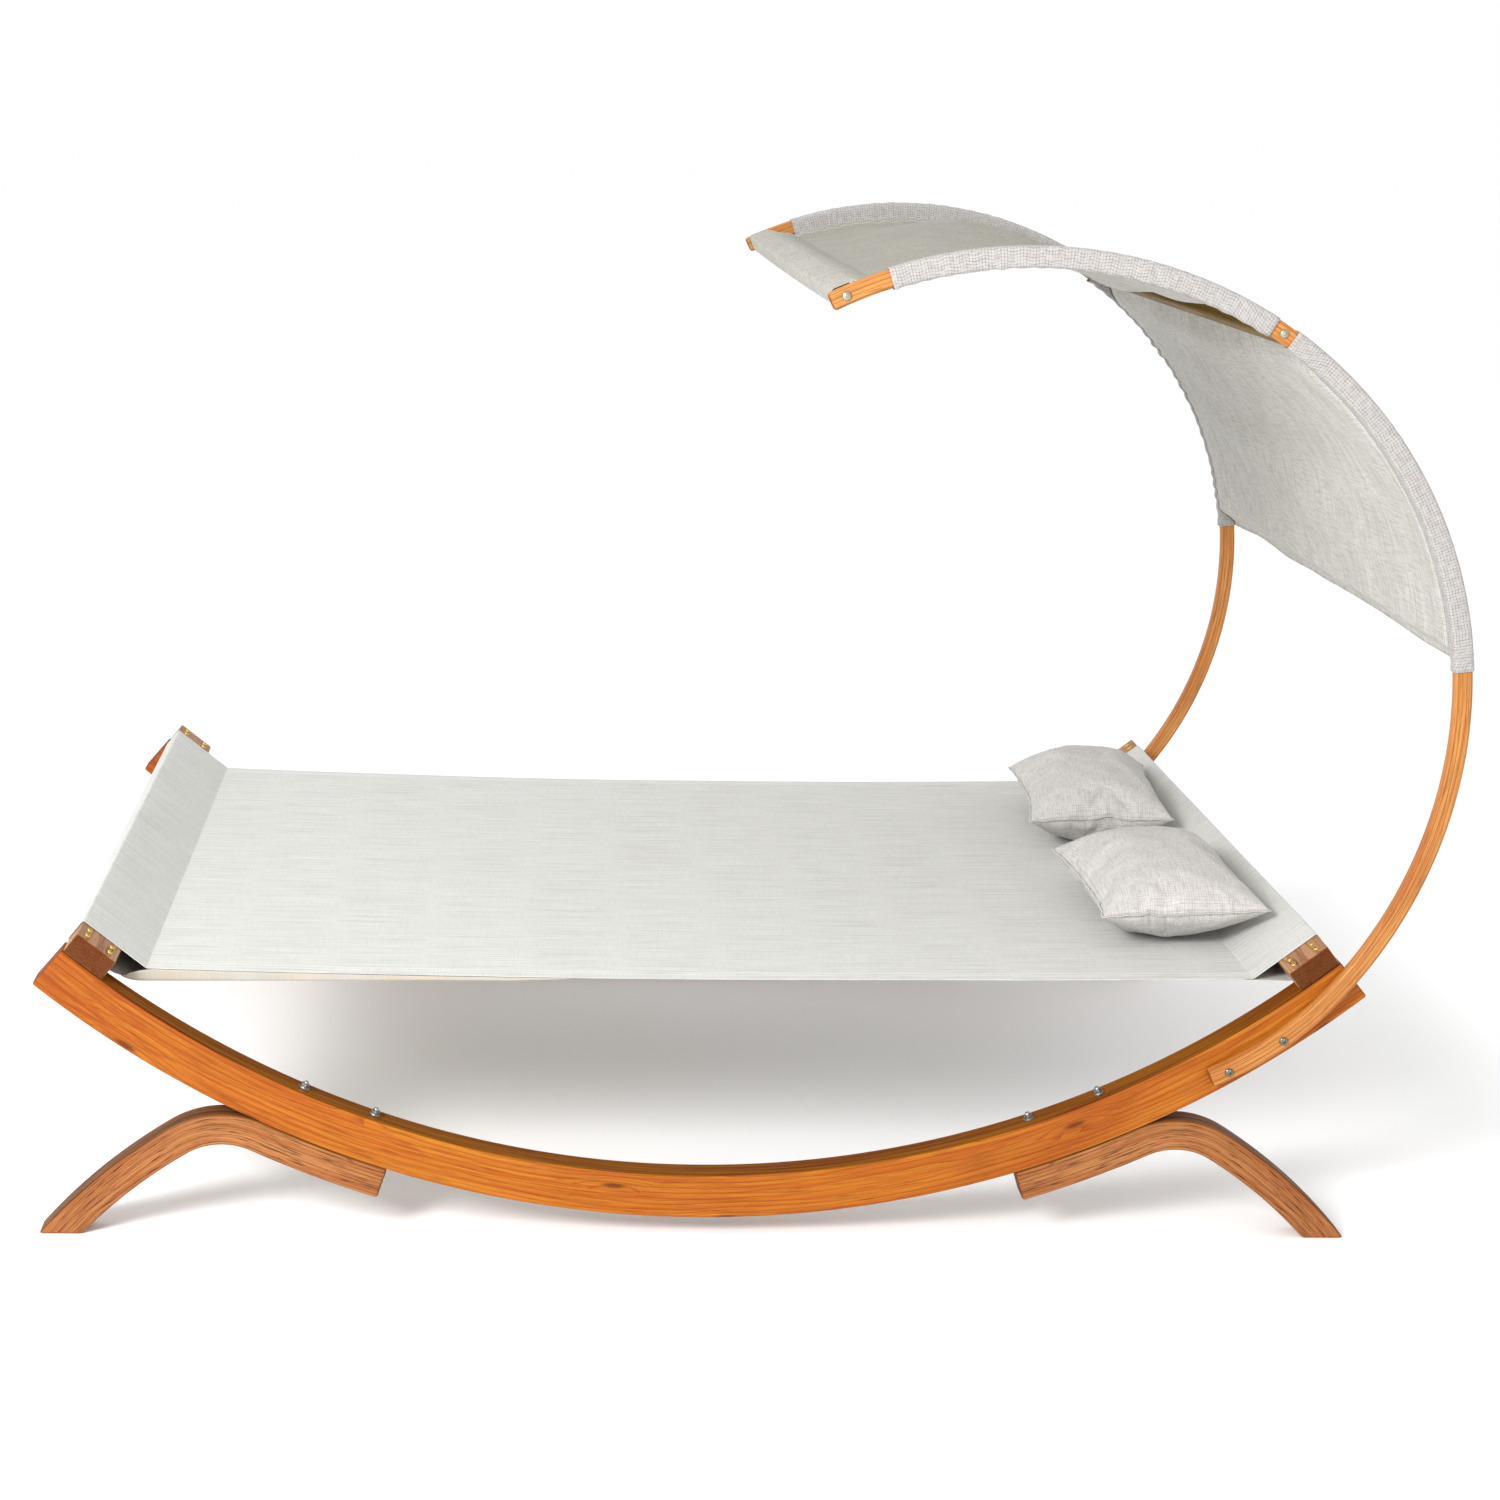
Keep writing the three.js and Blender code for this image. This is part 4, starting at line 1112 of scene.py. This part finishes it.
def front_wrap():
    """The cloth's line round the front bar, in X and Z, from over the bar back to the panel."""
    centre = on_circle(ARM_CENTRE, ARM_RADIUS, BAR_ANGLES["front"])
    out = (centre - ARM_CENTRE).normalized()
    tangent = Vector((-out.y, out.x))
    a, b = BAR_WIDTH / 2 + CLOTH_GAP, ARM_DEPTH / 2 + CLOTH_GAP
    corners = [centre + out * b + tangent * a * 0.3, centre + out * b + tangent * a,
               centre - out * b + tangent * a, centre - out * b - tangent * (a + 0.006)]
    return rounded_line(corners, [0.005, 0.005], 0.008)


def canopy_panel(angles):
    """Points, cloth places, zone and rows of the panel, from the rear hem over both bars and round the
    front. The zone marks the strip round the front bar, which the outer cloth paints lighter there as
    painted light."""
    vertices, cloth, zone, rows = [], [], [], []
    shares = [-1 + 2 * c / (PANEL_COLUMNS - 1) for c in range(PANEL_COLUMNS)]
    for angle in angles:
        rear = 1 - blend(0, 14, angle - CANOPY_REAR_ANGLE)
        place = math.radians(angle) * ARM_RADIUS
        puckers = {side: gather(side, angle) for side in (-1, 1)}
        rows.append(range(len(vertices), len(vertices) + PANEL_COLUMNS))
        for share in shares:
            y = share * PANEL_EDGE_Y
            bowed = angle + REAR_HEM_BOW * (1 - share ** 2) * rear
            pucker = puckers[-1 if y < 0 else 1] * blend(PUCKER_REACH, 0.0, PANEL_EDGE_Y - abs(y))
            edge = panel_edge_radius(angle, pucker)
            radius = edge - canopy_sag(angle, share) + canopy_crumple(angle, y)
            p = on_circle(ARM_CENTRE, radius, bowed)
            vertices.append((p.x, y, p.y))
            cloth.append((place, y, 0.0))
            zone.append(FRONT_STRIP_PAINTED_LIGHT * blend(5.4, 1.4, BAR_ANGLES["front"] - angle))
    wrap = front_wrap()
    start = on_circle(ARM_CENTRE, panel_edge_radius(angles[-1]), angles[-1])
    for before, p in zip([start] + wrap, wrap):
        place += (p - before).length
        rows.append(range(len(vertices), len(vertices) + PANEL_COLUMNS))
        for share in shares:
            bow = 0.004 * (1 - share ** 2)
            vertices.append((p.x - bow, share * PANEL_EDGE_Y, p.y))
            cloth.append((place, share * PANEL_EDGE_Y, 0.0))
            zone.append(FRONT_STRIP_PAINTED_LIGHT)
    return vertices, cloth, zone, rows


def outward(point):
    """The direction away from the arms' centre line, at a point of the canopy."""
    return Vector((point.x - ARM_CENTRE.x, 0, point.z - ARM_CENTRE.y)).normalized()


def canopy_seams(vertices, rows, angle_count):
    """Lines of stitching beside both sleeves and along the rear hem, on both sides of the cloth."""
    lines = []
    for inset in (0.012, 0.018):
        for side in (-1, 1):
            column = (side * (PANEL_EDGE_Y - inset) / PANEL_EDGE_Y + 1) / 2 * (PANEL_COLUMNS - 1)
            low = int(column)
            lines.append([Vector(vertices[row[low]]).lerp(Vector(vertices[row[low + 1]]), column - low)
                          for row in rows[:angle_count]])
    lines += [[Vector(vertices[i]) for i in rows[index][1:-1]] for index in (2, 3)]
    return [[(p + outward(p) * face * CLOTH / 2, outward(p) * face) for p in line]
            for line in lines for face in (1, -1)]


def sleeve_rings(side, stretch, angles, rows, vertices, cloth, zone):
    """Adds the points of one stretch of side sleeve. Each of its rings starts at the panel's edge."""
    edge_column = 0 if side < 0 else PANEL_COLUMNS - 1
    rings = []
    for row, angle in zip(rows, angles):
        if not stretch[0] - 1e-6 < angle < stretch[1] + 1e-6:
            continue
        profile = sleeve_profile(side, angle)
        place = math.radians(angle) * ARM_RADIUS
        rings.append([row[edge_column], *range(len(vertices), len(vertices) + len(profile) - 1)])
        travelled = 0.0
        for before, here in zip(profile, profile[1:]):
            travelled += (Vector(here) - Vector(before)).length
            p = on_circle(ARM_CENTRE, here[0], angle)
            vertices.append((p.x, here[1], p.y))
            cloth.append((place, side * (ARM_INNER_Y + travelled), 0.0))
            zone.append(1.0)
    return rings


def canopy():
    angles, stops = canopy_stations()
    vertices, cloth, zone, rows = canopy_panel(angles)
    faces = faces_between(rows)
    panel_face_count = len(faces)
    for side in (-1, 1):
        for stretch in (stops[0:2], stops[2:4]):
            faces += faces_between(sleeve_rings(side, stretch, angles, rows, vertices, cloth, zone))
    piece = make_piece("canopy_cloth", "canopy_cloth", vertices, faces, {"cloth": cloth, "zone": zone})
    for polygon in piece.data.polygons:
        polygon.material_index = 0 if polygon.index < panel_face_count else 2
    face_outwards(piece)
    # One side of the panel has canopy_cloth, darker by painted shade; the other side has canopy_lining.
    thicken(piece, ["canopy_lining", "sleeve_cloth"])
    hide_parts("canopy_cover")
    seam_runs = canopy_seams(vertices, rows, len(angles))
    seams = stitches("canopy_stitches", "canopy_cloth", seam_runs, piece)


# ---- Pillows ----
PILLOW_FLAT = (0.325, 0.455)     # cut size of each linen panel
PILLOW_COLUMNS = (56, 78)
PILLOW_THICKNESS = 0.152
PILLOW_SQUARE = 0.45             # how far the outline is from blown up to as it was cut
PILLOW_FULLNESS = 0.74           # below 1, the filling reaches further towards the rim
PILLOW_CORNER = 0.6              # how much thinner the corners are
PILLOW_CREASE = 0.045            # share of the thickness that the soft creases take
PILLOW_LEAN = -3                 # degrees, the head side up
FILLING_STEPS = 26
FILLING = {
    "quality": 5, "mass": 0.12, "tension_stiffness": 22, "compression_stiffness": 10,
    "shear_stiffness": 8, "bending_stiffness": 0.35, "tension_damping": 12, "air_damping": 2,
    "use_pressure": True, "uniform_pressure_force": 4.5,
}
SEAM_SECTION = (
    (-0.0015, 0.0011), (0.0018, 0.0008), (0.0026, 0), (0.0018, -0.0008), (-0.0015, -0.0011),
)
PILLOWS = {
    "right": {"middle": (0.814, -0.307, 0.502), "size": (0.286, 0.408), "turn": 0.5, "seed": 1.0},
    "left": {"middle": (0.817, 0.283, 0.502), "size": (0.272, 0.418), "turn": -5.0, "seed": 6.0},
}


def pillow_blank(seed):
    """Two linen panels sewn together along their rims, a little apart in the middle."""
    columns, rows = PILLOW_COLUMNS
    points, cloth, index = [], [], {}
    for face in (1, -1):
        for r in range(rows + 1):
            for c in range(columns + 1):
                u, v = -1 + 2 * c / columns, -1 + 2 * r / rows
                rim = abs(u) == 1 or abs(v) == 1
                if rim and face == -1:
                    index[(face, c, r)] = index[(1, c, r)]
                    continue
                index[(face, c, r)] = len(points)
                swell = 0.004 + 0.03 * ((1 - u * u) * (1 - v * v)) ** 0.5
                x, y = u * PILLOW_FLAT[0] / 2, v * PILLOW_FLAT[1] / 2
                wobble = 0.0015 * noise.noise(Vector((x * 30, y * 30, seed + face)))
                points.append((x, y, 0.0 if rim else face * swell + wobble))
                cloth.append((x, y, face))
    faces = []
    for face in (1, -1):
        for r in range(rows):
            for c in range(columns):
                corners = [index[(face, c + a, r + b)] for a, b in ((0, 0), (1, 0), (1, 1), (0, 1))]
                faces.append(tuple(corners if face == 1 else corners[::-1]))
    rim = [index[(1, c, 0)] for c in range(columns)]
    rim += [index[(1, columns, r)] for r in range(rows)]
    rim += [index[(1, c, rows)] for c in range(columns, 0, -1)]
    rim += [index[(1, 0, r)] for r in range(rows, 0, -1)]
    return points, faces, cloth, rim


def inflate(points, faces):
    """Blows the sewn panels up with Blender's cloth solver and returns the points."""
    mesh = bpy.data.meshes.new("blank")
    mesh.from_pydata(points, [], faces)
    blank = new_object("blank", mesh)
    modifier = blank.modifiers.new("filling", "CLOTH")
    for key, value in FILLING.items():
        setattr(modifier.settings, key, value)
    modifier.settings.effector_weights.gravity = 0
    modifier.collision_settings.use_collision = False
    modifier.point_cache.frame_start = 1
    modifier.point_cache.frame_end = FILLING_STEPS
    for step in range(1, FILLING_STEPS + 1):
        bpy.context.scene.frame_set(step)
    shape = blank.evaluated_get(bpy.context.evaluated_depsgraph_get()).to_mesh()
    result = [v.co.copy() for v in shape.vertices]
    bpy.data.objects.remove(blank)
    bpy.context.scene.frame_set(1)
    return result


def pillow(name, middle, size, turn, seed):
    points, faces, cloth, rim = pillow_blank(seed)
    swollen = inflate(points, faces)
    lows = [min(p[k] for p in swollen) for k in range(3)]
    highs = [max(p[k] for p in swollen) for k in range(3)]
    centre = Vector([(a + b) / 2 for a, b in zip(lows, highs)])
    half = [(b - a) / 2 for a, b in zip(lows, highs)]
    place = Matrix.Translation((BED_X + middle[0], middle[1], middle[2]))
    place = place @ Matrix.Rotation(math.radians(turn), 4, "Z")
    place = place @ Matrix.Rotation(math.radians(PILLOW_LEAN), 4, "Y")
    placed = []
    for p, (flat_x, flat_y, face) in zip(swollen, cloth):
        blown = [(p[k] - centre[k]) / half[k] for k in range(3)]
        x = blown[0] * (1 - PILLOW_SQUARE) + 2 * flat_x / PILLOW_FLAT[0] * PILLOW_SQUARE
        y = blown[1] * (1 - PILLOW_SQUARE) + 2 * flat_y / PILLOW_FLAT[1] * PILLOW_SQUARE
        z = math.copysign(abs(blown[2]) ** PILLOW_FULLNESS, blown[2])
        crease = noise.noise(Vector((flat_x * 19, flat_y * 19, seed + face)))
        crease += 0.5 * noise.noise(Vector((flat_x * 47, flat_y * 47, seed * 3 + face)))
        corner = (4 * flat_x * flat_y / PILLOW_FLAT[0] / PILLOW_FLAT[1]) ** 2
        z *= (1 + PILLOW_CREASE * crease) * (1 - PILLOW_CORNER * corner)
        q = place @ Vector((x * size[0] / 2, y * size[1] / 2, z * PILLOW_THICKNESS / 2))
        rest = sling_top_z(q.x - BED_X) + CLOTH / 2 + 0.0006
        slope = max(0.0, q.x - BED_X - SLING_CREASE_X) * math.tan(math.radians(PLANK_ANGLE))
        q.z = max(q.z, rest + slope)
        placed.append(q)
    body = f"pillow_{name}"
    piece = make_piece(body + "_case", "pillow_linen", placed, faces, {"cloth": cloth}, body)
    face_outwards(piece)
    smooth = piece.modifiers.new("subdivision", "SUBSURF")
    smooth.levels = 1
    smooth.render_levels = 1
    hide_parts(body)
    seam = pillow_seam(body, placed, rim)
    seam.parent = piece


def pillow_seam(body, placed, rim):
    """The narrow sewn edge where the two linen panels meet."""
    middle = sum((placed[i] for i in rim), Vector()) / len(rim)
    count = len(rim)
    vertices, cloth = [], []
    travelled = 0.0
    up = Vector((0, 0, 1))
    for k, i in enumerate(rim):
        before, here, after = placed[rim[k - 1]], placed[i], placed[rim[(k + 1) % count]]
        travelled += (here - before).length
        along = (after - before).normalized()
        out = along.cross(up).normalized()
        if out.dot(here - middle) < 0:
            out = -out
        lift = 0.0006 * math.sin(k * 0.9)
        for reach, height in SEAM_SECTION:
            vertices.append(here + out * reach + up * (height + lift))
            cloth.append((travelled, reach, 0.0))
    faces = ring_faces(count, len(SEAM_SECTION), True)
    piece = make_piece(body + "_seam", "pillow_linen", vertices, faces, {"cloth": cloth}, body)
    face_outwards(piece)
    return piece


# ---- Stage ----
FLOOR_REACH = 60


def add_floor():
    """A pale floor that fades to the studio's white away from the object."""
    shader = Shader("floor")
    place = shader.add("TexCoord", {}).outputs["Object"]
    distance = shader.add("VectorMath", {0: place}, operation="LENGTH").outputs["Value"]
    colour = shader.mix(shader.between(distance, 1.6, 5.0), (0.94, 0.94, 0.94, 1), (1, 1, 1, 1))
    shader.feed(shader.surface, {"Base Color": colour, "Roughness": 0.9, "Specular IOR Level": 0.1})
    mesh = bpy.data.meshes.new("floor")
    corners = [(x * FLOOR_REACH, y * FLOOR_REACH, 0) for x, y in ((-1, -1), (1, -1), (1, 1), (-1, 1))]
    mesh.from_pydata(corners, [], [(0, 1, 2, 3)])
    mesh.materials.append(shader.material)
    new_object("floor", mesh)


def add_area(name, place, aim, size, power):
    data = bpy.data.lights.new(name, "AREA")
    data.shape = "RECTANGLE"
    data.size, data.size_y = size
    data.energy = power
    lamp = new_object(name, data)
    lamp.location = place
    lamp.rotation_mode = "QUATERNION"
    lamp.rotation_quaternion = (Vector(aim) - Vector(place)).to_track_quat("-Z", "Y")


def add_light():
    world = bpy.data.worlds.new("studio")
    world.use_nodes = True
    background = world.node_tree.nodes["Background"]
    background.inputs["Color"].default_value = (1, 1, 1, 1)
    background.inputs["Strength"].default_value = 1.0
    bpy.context.scene.world = world
    add_area("key", (-3.2, -4.2, 3.4), (0, 0, 0.6), (1.7, 1.7), 330)
    add_area("fill", (1.8, -5.0, 1.6), (0, 0, 0.6), (3.0, 2.0), 30)


bpy.context.scene.view_settings.view_transform = "Standard"
add_camera()
add_light()
add_floor()
side_rails()
legs()
end_planks()
canopy_arms()
canopy_bars()
leg_fasteners()
arm_fasteners()
plank_screws()
sling()
canopy()
for pillow_name, facts in PILLOWS.items():
    pillow(pillow_name, **facts)
